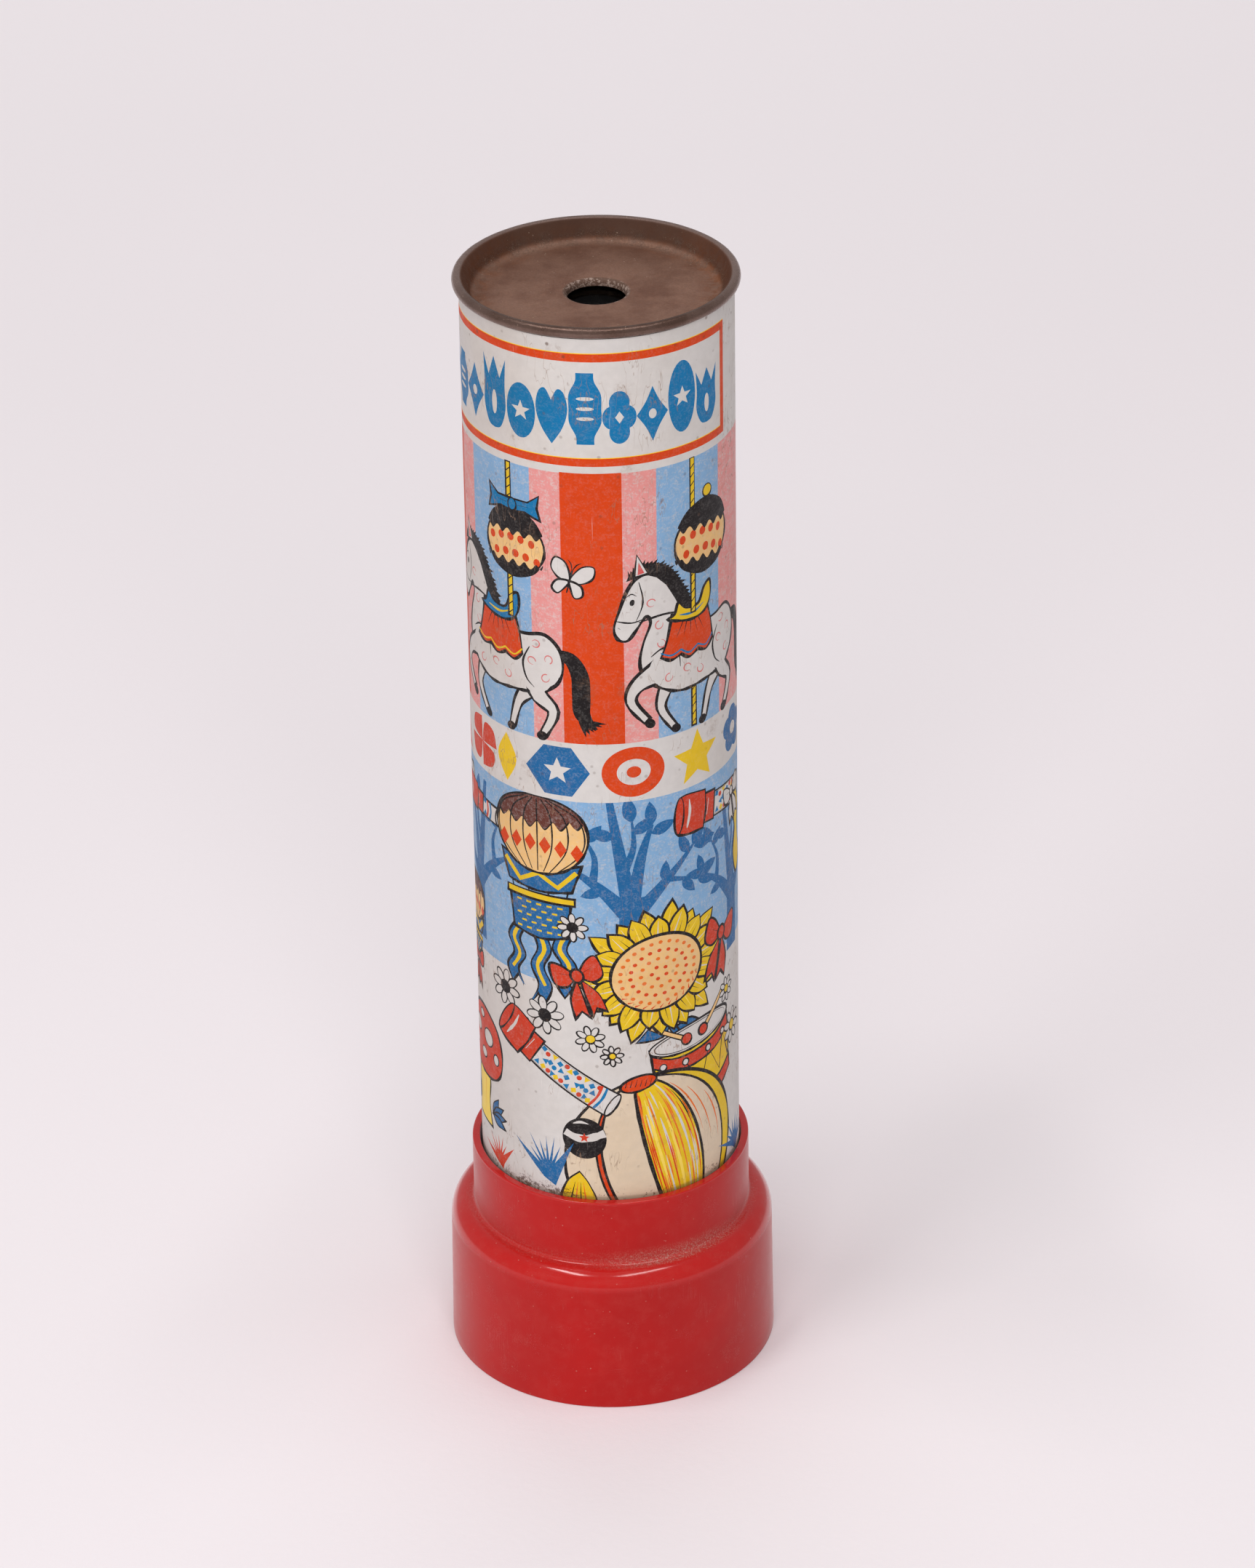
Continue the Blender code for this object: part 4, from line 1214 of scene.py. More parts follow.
def draw_balloon(pen, ribbons=True):
    """A hot-air balloon: a tan envelope with a brown scalloped top, a blue skirt and basket, and ribbons."""
    if ribbons:
        draw_ribbons(pen)
    # ropes, skirt and basket
    for x in (-6.6, -2.4, 2.4, 6.6):
        pen.bar([(x, -6.0), (0.8 * x, -12.0)], width=0.34)
    skirt = [*sharp((-8.2, -4.8)), (0, -6.4), *sharp((8.2, -4.8), (6.4, -10.2)), (0, -11.0)]
    pen.blob(skirt + sharp((-6.4, -10.2)), "blue", 0.5)
    zigzag = [(-7.2, -6.2), (-3.8, -9.6), (0, -7.4), (3.8, -9.6), (7.2, -6.2)]
    pen.line(zigzag, "yellow", 1.1, 0.9, 0.9, curved=False)
    basket = [*sharp((-6.2, -12.0), (6.2, -12.0), (5.4, -19.4)), (0, -20.4), *sharp((-5.4, -19.4))]
    pen.blob(basket, "blue", 0.5)
    for i in range(5):
        y = -13.7 - 1.3 * i
        for j in range(5 - i % 2):
            x = -4.1 + 2.05 * (j + 0.5 * (i % 2))
            pen.line([(x - 0.5, y), (x + 0.5, y)], "yellow", 0.42, 0.9, 0.9)
    pen.shape(box(-6.8, -12.9, 6.8, -11.5), "yellow", 0.4)
    # envelope, its scalloped crown, gores and diamonds
    envelope = [(-9.3, 0.6), (-7.9, 4.6), (-4.2, 7.0), (0.4, 7.6), (5.0, 6.8), (8.4, 4.2), (9.4, 0.2),
                (8.0, -3.6), (4.6, -6.4), (0, -7.4), (-4.8, -6.4), (-8.2, -3.2)]
    pen.blob(envelope, "tan", 0.5)
    crown = [(-9.1, 2.2), (-7.4, 5.3), (-4.0, 7.1), (0.4, 7.7), (5.0, 6.9), (8.0, 4.9), (9.3, 1.8)]
    for i in range(6):
        x = 7.6 - 3.04 * i
        low = 2.1 + 0.011 * (x + 1.5) ** 2
        crown += [(x + 1.3, low + 0.5), (x, low - 0.9), (x - 1.3, low + 0.5)]
    pen.patch(crown, "black")
    pen.patch([(0.955 * x, 0.93 * y + 0.4) for x, y in crown], "brown")
    for i in range(7):
        x = 2.85 * (i - 3)
        gore = [(0.3 * x, 7.2), (0.86 * x, 4.6), (1.03 * x, 0.6), (0.9 * x, -3.0), (0.4 * x, -6.9)]
        pen.line(gore, width=0.3, start=0.8, end=0.6)
    for i in range(6):
        x = 2.95 * (i - 2.5)
        middle = -1.6 - 0.014 * x * x
        pen.fill([(x - 1.15, middle), (x, middle + 1.7), (x + 1.15, middle), (x, middle - 1.7)], "orange")


def draw_bow(pen, ink="red"):
    """A ribbon bow with two tails."""
    for side in (-1, 1):
        loop = [*sharp((0, 0)), (2.4, 2.6), (4.4, 3.0), (4.6, -0.8), (2.4, -1.8)]
        tail = [*sharp((0.3, -0.6)), (2.6, -4.2), *sharp((3.0, -8.2), (1.4, -7.0), (0.2, -8.6)), (0.2, -4.0)]
        for piece in (loop, tail):
            pen.blob([(side * x, y) for x, y in piece], ink)
        pen.line([(side * 0.8, 0.3), (side * 3.0, 1.0)], width=0.26)
    pen.shape(oval(0, 0, 1.15, 1.35, count=18), ink)


def draw_sunflower(pen):
    """A big yellow sunflower, wider than tall, with a hatched tan heart."""
    count = 17
    for layer, (reach, shift) in enumerate(((14.2, 0.5), (12.8, 0.0))):
        for i in range(count):
            turn = 360.0 * (i + shift) / count
            angle = math.radians(turn)
            petal = pen.at(8.0 * math.cos(angle), 6.6 * math.sin(angle), turn=turn)
            length = (reach - 7.0) * (0.92 + 0.14 * math.sin(2.4 * i + layer))
            upper = [(0.6, 1.75), (0.62 * length, 1.6)]
            lower = [(x, -y) for x, y in reversed(upper)]
            petal.blob([(-1.0, 0), *upper, *sharp((length, 0.15)), *lower], "yellow", 0.4)
            light = "white" if (i + layer) % 3 else "lemon"
            petal.line([(0.4, 0.35), (0.8 * length, 0.15)], light, 0.5, 0.6, 0.1)
            petal.line([(0.2, -0.7), (0.62 * length, -0.55)], width=0.2, start=1.0, end=0.05)
            petal.line([(0.2, 1.0), (0.46 * length, 0.95)], "flame", 0.24, 1.0, 0.05)
    pen.shape(oval(0, 0, 8.9, 7.5, count=48), "tan", 0.5)
    rings = ((7.2, 6.0, 26), (5.4, 4.4, 19), (3.5, 2.8, 12), (1.5, 1.2, 5))
    for ring, (ru, rv, seeds) in enumerate(rings):
        for i in range(seeds):
            angle = math.tau * (i + 0.5 * ring) / seeds
            seed = oval(ru * math.cos(angle), rv * math.sin(angle), 0.42, 0.36, count=9)
            pen.fill(seed, "orange" if ring % 2 else "flame")
    for i in range(12):
        angle = math.radians(-150 + 11 * i)
        outer = (8.5 * math.cos(angle), 7.1 * math.sin(angle))
        inner = (7.7 * math.cos(angle + 0.1), 6.4 * math.sin(angle + 0.1))
        pen.line([outer, inner], "orange", 0.34, 0.9, 0.1)


def draw_drum(pen):
    """A yellow toy drum with red hoops, seen a little from above."""
    shell = [*sharp((-9.6, 6.6), (-9.0, -6.2)), (-4.0, -8.4), (4.0, -8.4), *sharp((9.0, -6.2), (9.6, 6.6))]
    pen.blob(shell, "yellow", 0.46)
    hoop = [*sharp((-9.2, -4.0)), (-4.2, -6.2), (4.2, -6.2), *sharp((9.2, -4.0), (9.2, -6.6)), (4.2, -8.9),
            (-4.2, -8.9), *sharp((-9.2, -6.6))]
    pen.blob(hoop, "red")
    pen.blob([(x * 1.03, y + 9.2) for x, y in hoop], "red")
    pen.shape(oval(0, 6.2, 9.7, 2.6, count=44), "white", 0.44)
    pen.line(oval(0, 6.2, 8.7, 2.1, count=40, start=0, end=359), width=0.2, curved=False)
    # the cord, a button at each of its low corners, and strokes of shade
    cord = []
    for i in range(9):
        angle = math.radians(200 + 17.5 * i)
        cord.append((9.4 * math.cos(angle), (3.0 if i % 2 else -3.6) + 2.2 * math.sin(angle) + 0.6))
    pen.bar(cord, width=0.5, curved=False)
    for x, y in cord[1::2]:
        pen.shape(oval(x, y, 0.7, count=12), "white", 0.3)
    for i in range(7):
        pen.line([(4.4 + 0.7 * i, -4.4 + 0.25 * i), (4.6 + 0.68 * i, 1.4 + 0.2 * i)], "flame", 0.22, 0.3, 0.1)
    # two sticks
    for side in (-1, 1):
        pen.bar([(side * 2.4, 6.4), (side * 8.8, 11.2)], width=1.1, curved=False)
        pen.bar([(side * 2.6, 6.55), (side * 8.6, 11.05)], "tan", 0.6, curved=False)
        pen.shape(oval(side * 2.0, 6.1, 1.15, count=16), "red", 0.36)


def draw_beach_ball(pen):
    """A big cream and yellow ball, with brushed streaks along its seams."""
    radius = 17.4
    tilt = math.radians(104)            # which way the ball's button points
    reach = 0.985 * radius
    pen.shape(oval(0, 0, radius, radius, count=80), "yellow", 0.6)

    def seam(bulge):
        """Half a turn of the ball from its button to its foot, bulge times as wide as the ball's edge."""
        count = 26
        result = []
        for i in range(count + 1):
            along = math.cos(math.pi * i / count)
            across = bulge * math.sin(math.pi * i / count)
            result.append((reach * (along * math.cos(tilt) + across * math.sin(tilt)),
                           reach * (along * math.sin(tilt) - across * math.cos(tilt))))
        return result

    def brush(path, width):
        """A black seam line."""
        pen.line(path, width=width, start=0.6, end=0.6, curved=False)

    left, narrow, middle, right, edge = seam(-1.0), seam(-0.6), seam(-0.12), seam(0.5), seam(0.86)
    pen.fill(left + middle[::-1], "cream")
    pen.fill(seam(-0.66) + narrow[::-1], "orange")
    brush(seam(-0.66), 0.4)
    brush(narrow, 0.5)
    pen.fill(right + edge[::-1], "cream")
    brush(middle, 0.75)
    brush(right, 0.6)
    brush(edge, 0.5)
    streaks = ((-0.08, "flame", 0.34), (-0.04, "orange", 0.3), (0.01, "lemon", 0.55), (0.06, "flame", 0.26),
               (0.13, "white", 0.5), (0.2, "lemon", 0.6), (0.27, "flame", 0.3), (0.34, "white", 0.45),
               (0.4, "orange", 0.34), (0.45, "black", 0.26))
    tips = ("orange", "lemon", "flame", "white", "orange")
    hairs = ("white", "flame", "orange")
    for i, (bulge, ink, width) in enumerate(streaks):
        streak = seam(bulge)
        first = 3 + (5 * i) % 7
        last = 15 + (7 * i) % 9
        pen.line(streak[first:last], ink, width, 0.2, 0.1, curved=False)
        pen.line(streak[last - 5:last + 4], tips[i % len(tips)], 0.32, 0.2, 0.05, curved=False)
        hair = seam(bulge + 0.02)
        for first in (5 + (3 * i) % 4, 11 + (4 * i) % 5, 18 + (5 * i) % 4):
            pen.line(hair[first:first + 4], hairs[(i + first) % len(hairs)], 0.3, 0.3, 0.1, curved=False)
    for i, bulge in enumerate((0.56, 0.66, 0.78)):
        pen.line(seam(bulge)[5 + 2 * i:14 + i], "flame", 0.3, 0.2, 0.05, curved=False)
    button = pen.at(reach * math.cos(tilt) * 0.96, reach * math.sin(tilt) * 0.96)
    button.shape(oval(0, 0, 3.4, 1.5, 14, 24), "orange", 0.4)
    for i in range(6):
        button.line([(-2.4 + 0.9 * i, -0.6), (-2.0 + 0.9 * i, 0.9)], width=0.24, start=0.8, end=0.2)


def draw_black_ball(pen):
    """A black ball with a white stripe round it and a star on the stripe."""
    pen.fill(oval(0, 0, 4.0, 4.2, 8, 36), "black")
    pen.bar([(-3.5, 1.0), (-1.6, 0.1), (0.6, 0.0), (3.7, 1.2)], "white", 1.5)
    pen.at(0.0, 0.1).star(5, 1.0, 0.45, "red")
    pen.line([(-2.0, 2.9), (-0.6, 3.3), (0.8, 3.0)], "white", 0.5, 0.3, 0.2)


def draw_toadstool(pen):
    """A red toadstool with white spots, between two sprigs of blue leaves."""
    stalk = [(-3.0, -6.0), (-3.2, -12.5), *sharp((-4.4, -16.5), (3.4, -16.5)), (2.4, -12.0), (2.6, -6.0)]
    pen.blob(stalk, "lemon")
    for x in (-1.8, 0.6):
        pen.line([(x, -7.5), (x - 0.3, -15.0)], "flame", 0.36, 0.4, 0.1)
    hat = [(-7.2, -3.4), (-7.4, 1.2), (-5.0, 5.6), (0.4, 7.4), (5.4, 5.2), (7.4, 0.6), (6.8, -4.2),
           (3.6, -6.4), (-3.4, -6.2)]
    pen.blob(hat, "red", 0.5)
    spots = ((-3.6, 1.8, 1.8, 1.5), (2.4, 1.6, 1.9, 1.7), (-0.6, 5.2, 1.1, 0.8), (5.4, -1.6, 0.9, 1.1),
             (-5.6, -2.4, 0.9, 0.9), (0.2, -2.4, 1.3, 1.0))
    for x, y, ru, rv in spots:
        pen.shape(oval(x, y, ru, rv, count=20), "white", 0.26)
    for side in (-1, 1):
        for i in range(4):
            blade = pen.at(side * 3.6, -13.5, turn=90 - side * (30 + 26 * i))
            outlined_leaf(blade, 4.6, 2.2, 0.9, 0.9, 0.3)


def draw_kite(pen):
    """A kite in three colours, with a tail of knotted ribbons."""
    pen.line([(0, -8.0), (2.4, -12.0), (-1.6, -15.6), (1.6, -20.0), (-0.6, -24.0)], width=0.34)
    knots = ((2.0, -11.4, "yellow"), (-1.4, -15.2, "orange"), (1.3, -19.4, "title"))
    for i, (x, y, ink) in enumerate(knots):
        knot = pen.at(x, y, turn=40.0 * i - 30)
        for side in (-1, 1):
            knot.shape([(0, 0), (side * 2.0, 1.1), (side * 2.0, -1.1)], ink, 0.3)
    pen.shape([(0, 9.0), (6.2, 1.8), (0, -8.6), (-6.2, 1.8)], "orange", 0.5)
    pen.fill([(0.2, 8.0), (5.4, 1.9), (0.2, 1.9)], "yellow")
    pen.fill([(-0.2, -7.2), (-5.2, 1.5), (-0.2, 1.5)], "title")
    pen.bar([(0, 8.6), (0, -8.2)], width=0.34)
    pen.bar([(-5.9, 1.8), (5.9, 1.8)], width=0.34)


def draw_boat(pen):
    """A red toy boat with two striped sails and a flag."""
    hull = [*sharp((-9.0, 0), (9.4, 0.6), (6.4, -4.6)), (0, -5.4), *sharp((-6.4, -4.4))]
    pen.blob(hull, "red", 0.46)
    pen.line([(-7.4, -2.0), (0, -2.9), (7.8, -1.8)], "white", 0.7, 0.6, 0.6)
    pen.bar([(0, 0), (0, 15.0)], width=0.8)
    pen.blob([*sharp((0.7, 14.0)), (5.6, 8.0), *sharp((8.4, 1.8), (0.7, 1.8))], "yellow", 0.44)
    pen.blob([*sharp((-0.7, 12.6)), (-3.6, 7.0), *sharp((-7.0, 1.8), (-0.7, 1.8))], "white", 0.44)
    for i in range(3):
        pen.line([(1.2, 3.6 + 2.6 * i), (6.6 - 1.6 * i, 3.4 + 2.6 * i)], "flame", 0.34, 0.9, 0.2)
        pen.line([(-1.2, 3.4 + 2.4 * i), (-5.6 + 1.4 * i, 3.2 + 2.4 * i)], "title", 0.5, 0.9, 0.2)
    pen.shape([(0, 15.0), (4.2, 16.2), (0, 17.6)], "orange", 0.34)


def draw_blocks(pen):
    """Three toy blocks in a pile, with a star, a spot and a heart on them."""
    star, spot, crown = pen.at(-4.6, 0, turn=3), pen.at(5.0, 0.2, turn=-5), pen.at(0.4, 8.8, turn=8)
    for block, ink in ((star, "title"), (spot, "red"), (crown, "yellow")):
        block.shape(box(-4.2, -4.2, 4.2, 4.2), ink, 0.48)
        block.shape([(-4.2, 4.2), (4.2, 4.2), (5.8, 5.8), (-2.6, 5.8)], "white", 0.4)
        if block is star:
            block.star(5, 2.7, 1.2, "white")
        elif block is spot:
            block.fill(oval(0, 0, 2.3, count=28), "white")
        else:
            heart(block.at(0, -2.6), 5.2, "red")


def draw_flame(pen):
    """A small yellow tongue of flame."""
    pen.blob([(-3.4, -3.4), (-2.6, 0.8), *sharp((-0.2, 3.2)), (1.6, 0.6), (2.6, -3.4)], "yellow")
    for i in range(4):
        stroke = [(-1.8 + 0.9 * i, -2.6), (-1.0 + 0.5 * i, 1.0)]
        pen.line(stroke, "flame" if i % 2 else "black", 0.36, 0.9, 0.1)


def garden_front(pen):
    """What shows from the front, far things first."""
    draw_tree(pen.at(4.5, 101.0))
    draw_tree(pen.at(-29.0, 100.0, 0.9, flip=True))
    draw_tree(pen.at(28.6, 96.5, 0.86))
    draw_toy_tube(pen.at(13.8, 115.1, 1.0, -5.0), 19.0, 2.35)
    streamer = [*sharp((30.0, 114.4)), (33.2, 110.0), (32.6, 104.6), (34.0, 99.0), (31.2, 96.4),
                (29.8, 101.0), (30.6, 106.0), (28.4, 111.0)]
    pen.blob(streamer, "yellow", 0.4)
    draw_bow(pen.at(29.0, 113.6, 0.72, 12.0), "white")
    draw_toy_tube(pen.at(-35.0, 113.4, 1.0, -4.0), 13.6, 1.7)
    draw_balloon(pen.at(-12.3, 112.3))
    small = pen.at(-33.0, 92.0, 0.62)
    draw_balloon(small, ribbons=False)
    draw_bow(small.at(2.0, -19.5, 1.1))
    for u, v, size in ((-20.6, 79.2, 3.5), (-6.0, 95.2, 2.7), (-11.6, 76.6, 3.6), (-16.2, 72.8, 2.2)):
        pen.at(u, v, turn=7.0 * u).daisy(size, "black")
    draw_toadstool(pen.at(-29.6, 63.8))
    pen.limb([(10.0, 80.0), (11.8, 74.0), (14.4, 70.0)], (1.5, 1.5, 1.5), "blue", 0.36)
    for x, y, turn in ((12.6, 73.6, -18), (11.6, 75.0, 205)):
        outlined_leaf(pen.at(x, y, turn=turn), 7.4, 2.8, 1.8, 1.6)
    draw_drum(pen.at(17.4, 64.6, 0.98, 7.0))
    draw_sunflower(pen.at(9.4, 85.4, 1.0, 6.0))
    draw_bow(pen.at(-5.4, 85.6, 1.0, 18.0))
    draw_bow(pen.at(24.2, 87.8, 1.05, -14.0))
    for u, v, size in ((28.4, 66.8, 3.3), (26.0, 75.4, 2.4), (-3.2, 73.0, 2.6), (0.6, 69.6, 2.0)):
        pen.at(u, v, turn=9.0 * u).daisy(size, "yellow")
    draw_beach_ball(pen.at(9.2, 47.6))
    draw_toy_tube(pen.at(-20.4, 73.2, 1.0, -33.0), 25.0, 2.5)
    draw_black_ball(pen.at(-4.6, 52.6))
    pen.at(-11.4, 44.2, turn=10.0).tuft(8, 8.6, "blue", 44.0)
    pen.at(-23.6, 42.0, turn=14.0).tuft(8, 5.8, "red", 60.0)
    pen.at(29.4, 42.0).tuft(8, 6.6, "blue", 70.0)
    draw_flame(pen.at(-5.4, 42.4))


def garden_back(pen):
    """What shows from behind, far things first."""
    draw_tree(pen.at(-52.0, 98.0, 1.02, flip=True))
    draw_tree(pen.at(-80.0, 101.0, 0.94))
    draw_tree(pen.at(-102.0, 97.0, 0.98, flip=True))
    draw_balloon(pen.at(-65.5, 111.6, 0.94))
    draw_kite(pen.at(-90.5, 109.4, 1.0, -16.0))
    draw_toy_tube(pen.at(-48.6, 113.6, 1.0, 9.0), 17.0, 2.1)
    draw_blocks(pen.at(-47.0, 76.6, 0.92))
    daisies = ((-56.4, 86.0, 2.8, "black"), (-39.4, 84.0, 2.6, "black"), (-72.8, 84.6, 2.8, "black"),
               (-84.0, 67.0, 2.6, "yellow"), (-58.4, 53.6, 2.4, "yellow"))
    for u, v, size, ink in daisies:
        pen.at(u, v, turn=5.0 * u).daisy(size, ink)
    draw_sunflower(pen.at(-94.0, 79.4, 0.86, -8.0))
    pen.limb([(-94.0, 72.0), (-93.2, 62.0), (-95.0, 52.0)], (1.4, 1.5, 1.7), "blue", 0.36)
    for side, turn in ((1, 24), (-1, 158)):
        outlined_leaf(pen.at(-93.6, 59.0 + side, turn=turn), 8.4, 3.0, 2.0, 1.6)
    draw_boat(pen.at(-69.0, 66.0, 0.98, 4.0))
    for i in range(6):
        u = -80.0 + 4.2 * i
        pen.line([(u, 60.4), (u + 1.6, 61.4), (u + 3.2, 60.4)], "title", 0.6, 0.5, 0.4)
    draw_drum(pen.at(-45.6, 57.0, 0.8, -6.0))
    draw_beach_ball(pen.at(-105.6, 45.6, 0.62))
    draw_toadstool(pen.at(-107.0, 78.0, 0.7))
    draw_black_ball(pen.at(-58.6, 47.4, 0.8))
    draw_toy_tube(pen.at(-84.6, 52.6, 1.0, -12.0), 22.0, 2.4)
    tufts = ((-39.0, 43.4, "blue"), (-66.0, 43.0, "red"), (-76.0, 42.0, "blue"), (-89.6, 44.0, "red"),
             (-52.0, 42.4, "blue"))
    for u, v, ink in tufts:
        pen.at(u, v).tuft(9, 6.4, ink, 72.0)


def draw_garden(pen):
    """Toys and flowers on pale ground that rises and falls, under a blue sky."""
    steps = 75
    skyline = []
    for i in range(steps + 1):
        u = START - LAP_UNDER + (GIRTH + LAP_UNDER) * i / steps
        skyline.append((u, 84.0 + 1.0 * math.sin(0.07 * u + 0.5) + 0.4 * math.sin(0.21 * u)))
    pen.fill(skyline + [(LAP_EDGE, BAND_LOW), (START - LAP_UNDER, BAND_LOW)], "sky")
    garden_back(pen)
    garden_front(pen)


def draw_label(pen):
    """The bands overlap a little, so they are painted from the foot up."""
    draw_garden(pen)
    draw_band(pen)
    draw_carousel(pen)
    draw_title(pen)


# ---------------------------------------------------------------- label: the printed sheet
SHEET = 0.12                       # thickness of the paper
LAP_RAMP = 2.6                     # length over which the free end climbs onto the end beneath it
LAP_RISE = 1.1 * SHEET             # how much higher the free end lies than the rest
COLUMNS = 92                       # upright folds that let the flat sheet follow the tube
ROWS = 17
CUT_NEAR = 1e-5                    # points nearer than this are one when the sheet is cut
EDGE_NEAR = 1e-4                   # points nearer than this to the foot or the top are on it


def sheet_radius(u):
    """Outer radius of the sheet, which climbs over its other end just before its free edge."""
    climb = min(max((u - LAP_EDGE + LAP_UNDER + LAP_RAMP) / LAP_RAMP, 0.0), 1.0)
    return LABEL_R - LAP_RISE * (1.0 - climb * climb * (3.0 - 2.0 * climb))


def on_tube(u, v, depth=0.0):
    """Where a point of the flat sheet comes on the tube, at a depth under the sheet's outer face."""
    angle = u / LABEL_R
    radius = sheet_radius(u) - depth
    return (radius * math.sin(angle), -radius * math.cos(angle), v)


def sheet_normal(u):
    """Direction out of the sheet, tilted where it climbs over its other end."""
    step = 0.05
    slope = (sheet_radius(u + step) - sheet_radius(u - step)) / (2.0 * step)
    angle = u / LABEL_R
    out = Vector((math.sin(angle), -math.cos(angle), 0.0))
    along = Vector((math.cos(angle), math.sin(angle), 0.0))
    return (out - along * slope).normalized()


def ink_colours():
    """Linear colour of each ink, with the grain that shows through it as alpha."""
    return {name: linear(*ink[:3])[:3] + (ink[3],) for name, ink in INKS.items()}


def inside(outline, spots):
    """Which of the spots lie inside an outline, counted by how often it winds round each of them."""
    u, v = spots[:, 0], spots[:, 1]
    winding = np.zeros(len(spots), dtype=int)
    for (u0, v0), (u1, v1) in zip(outline, outline[1:] + outline[:1]):
        side = (u1 - u0) * (v - v0) - (u - u0) * (v1 - v0)
        winding += (v0 <= v) & (v1 > v) & (side > 0)
        winding -= (v0 > v) & (v1 <= v) & (side < 0)
    return winding != 0


def painted_spots(faces, spots):
    """Colour of each spot on the sheet: the outlines are painted over one another in their order."""
    inks = {name: np.array(ink) for name, ink in ink_colours().items()}
    colours = np.tile(inks["paper"], (len(spots), 1))
    order = np.argsort(spots[:, 0])
    ranked = spots[order]
    for outline, ink, strength in faces:
        us = [u for u, _ in outline]
        vs = [v for _, v in outline]
        first, last = np.searchsorted(ranked[:, 0], (min(us), max(us)))
        level = ranked[first:last, 1]
        near = first + np.flatnonzero((level > min(vs)) & (level < max(vs)))
        if len(near):
            hit = order[near[inside(outline, ranked[near])]]
            colours[hit] += (inks[ink] - colours[hit]) * strength
    return colours


def cut_sheet(faces):
    """The flat sheet cut into triangles along every painted outline: points, triangles and their colours."""
    left, right = START - LAP_UNDER, LAP_EDGE
    across = [left + (right - left) * i / COLUMNS for i in range(COLUMNS + 1)]
    up = [LABEL_FOOT + (LABEL_TOP - LABEL_FOOT) * i / ROWS for i in range(ROWS + 1)]
    points = [(u, LABEL_FOOT) for u in across] + [(u, LABEL_TOP) for u in across]
    width = len(across)
    edges = [(i, width + i) for i in range(1, width - 1)]
    border = list(range(width)) + list(range(2 * width - 1, width - 1, -1))
    for v in up[1:-1]:
        edges.append((len(points), len(points) + 1))
        points += [(left, v), (right, v)]
    for outline, _, _ in faces:
        first, count = len(points), len(outline)
        points += outline
        edges += [(first + i, first + (i + 1) % count) for i in range(count)]
    flat = [Vector(point) for point in points]
    verts, _, triangles, _, _, _ = delaunay_2d_cdt(flat, edges, [border], 0, CUT_NEAR, True)
    corners = np.array([(v.x, v.y) for v in verts])[np.array([list(t) for t in triangles])]
    spots = corners.mean(axis=1)
    u, v = spots[:, 0], spots[:, 1]
    on_sheet = (u > left) & (u < right) & (v > LABEL_FOOT) & (v < LABEL_TOP)
    kept = [tuple(triangle) for triangle, stays in zip(triangles, on_sheet) if stays]
    return verts, kept, painted_spots(faces, spots[on_sheet])


def rim_of(triangles):
    """Indices round the outside of a patch of triangles, in order."""
    directed = {(a, b) for t in triangles for a, b in zip(t, t[1:] + t[:1])}
    after = {a: b for a, b in directed if (b, a) not in directed}
    start = min(after)
    rim = [start]
    while after[rim[-1]] != start:
        rim.append(after[rim[-1]])
    return rim


def back_of(verts, rim):
    """Triangles that close the back of the sheet, between the points of its rim alone."""
    feet = {round(verts[i].x, 3): k for k, i in enumerate(rim) if verts[i].y < LABEL_FOOT + EDGE_NEAR}
    heads = {round(verts[i].x, 3): k for k, i in enumerate(rim) if verts[i].y > LABEL_TOP - EDGE_NEAR}
    left, right = START - LAP_UNDER, LAP_EDGE
    across = [round(left + (right - left) * i / COLUMNS, 3) for i in range(1, COLUMNS)]
    folds = [(feet[u], heads[u]) for u in across if u in feet and u in heads]
    flat = [verts[i] for i in rim]
    return delaunay_2d_cdt(flat, folds, [list(range(len(rim)))], 1, CUT_NEAR, True)[2]


def paint_corners(mesh, painted, normals, first_side):
    """Give each corner of the mesh its ink and its normal. The back and the cut edges are bare paper."""
    ink = mesh.color_attributes.new("ink", "FLOAT_COLOR", "CORNER")
    bare = list(ink_colours()["paper"])
    colours, directions = [], []
    for number, polygon in enumerate(mesh.polygons):
        colour = list(painted[number]) if number < len(painted) else bare
        for vertex in polygon.vertices:
            colours.extend(colour)
            directions.append(polygon.normal.copy() if number >= first_side else normals[vertex])
    ink.data.foreach_set("color", colours)
    mesh.shade_smooth()
    mesh.normals_split_custom_set(directions)


def build_label():
    """The printed sheet: its painted front, its back, and the thin edges between them."""
    faces = []
    draw_label(Pen(faces, origin=(0.0, 0.0), size=1.0, turn=0.0, side=1.0))
    verts, triangles, painted = cut_sheet(faces)
    rim = rim_of(triangles)
    used = sorted({i for triangle in triangles for i in triangle})
    place = {index: k for k, index in enumerate(used)}
    points = [on_tube(verts[i].x, verts[i].y) for i in used]
    normals = [sheet_normal(verts[i].x) for i in used]
    first_back = len(points)
    points += [on_tube(verts[i].x, verts[i].y, SHEET) for i in rim]
    normals += [-sheet_normal(verts[i].x) for i in rim]
    polygons = [tuple(place[i] for i in triangle) for triangle in triangles]
    backs = [tuple(first_back + k for k in triangle[::-1]) for triangle in back_of(verts, rim)]
    sides = []
    for k, index in enumerate(rim):
        following = (k + 1) % len(rim)
        sides.append((place[rim[following]], place[index], first_back + k, first_back + following))
    mesh = bpy.data.meshes.new("printed_sheet")
    mesh.from_pydata([Vector(point) * MM for point in points], [], polygons + backs + sides)
    paint_corners(mesh, painted, normals, len(polygons) + len(backs))
    obj = bpy.data.objects.new("printed_sheet", mesh)
    bpy.context.scene.collection.objects.link(obj)
    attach(obj, "tube_body")
    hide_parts("printed_label")
    dress(obj, label_material())


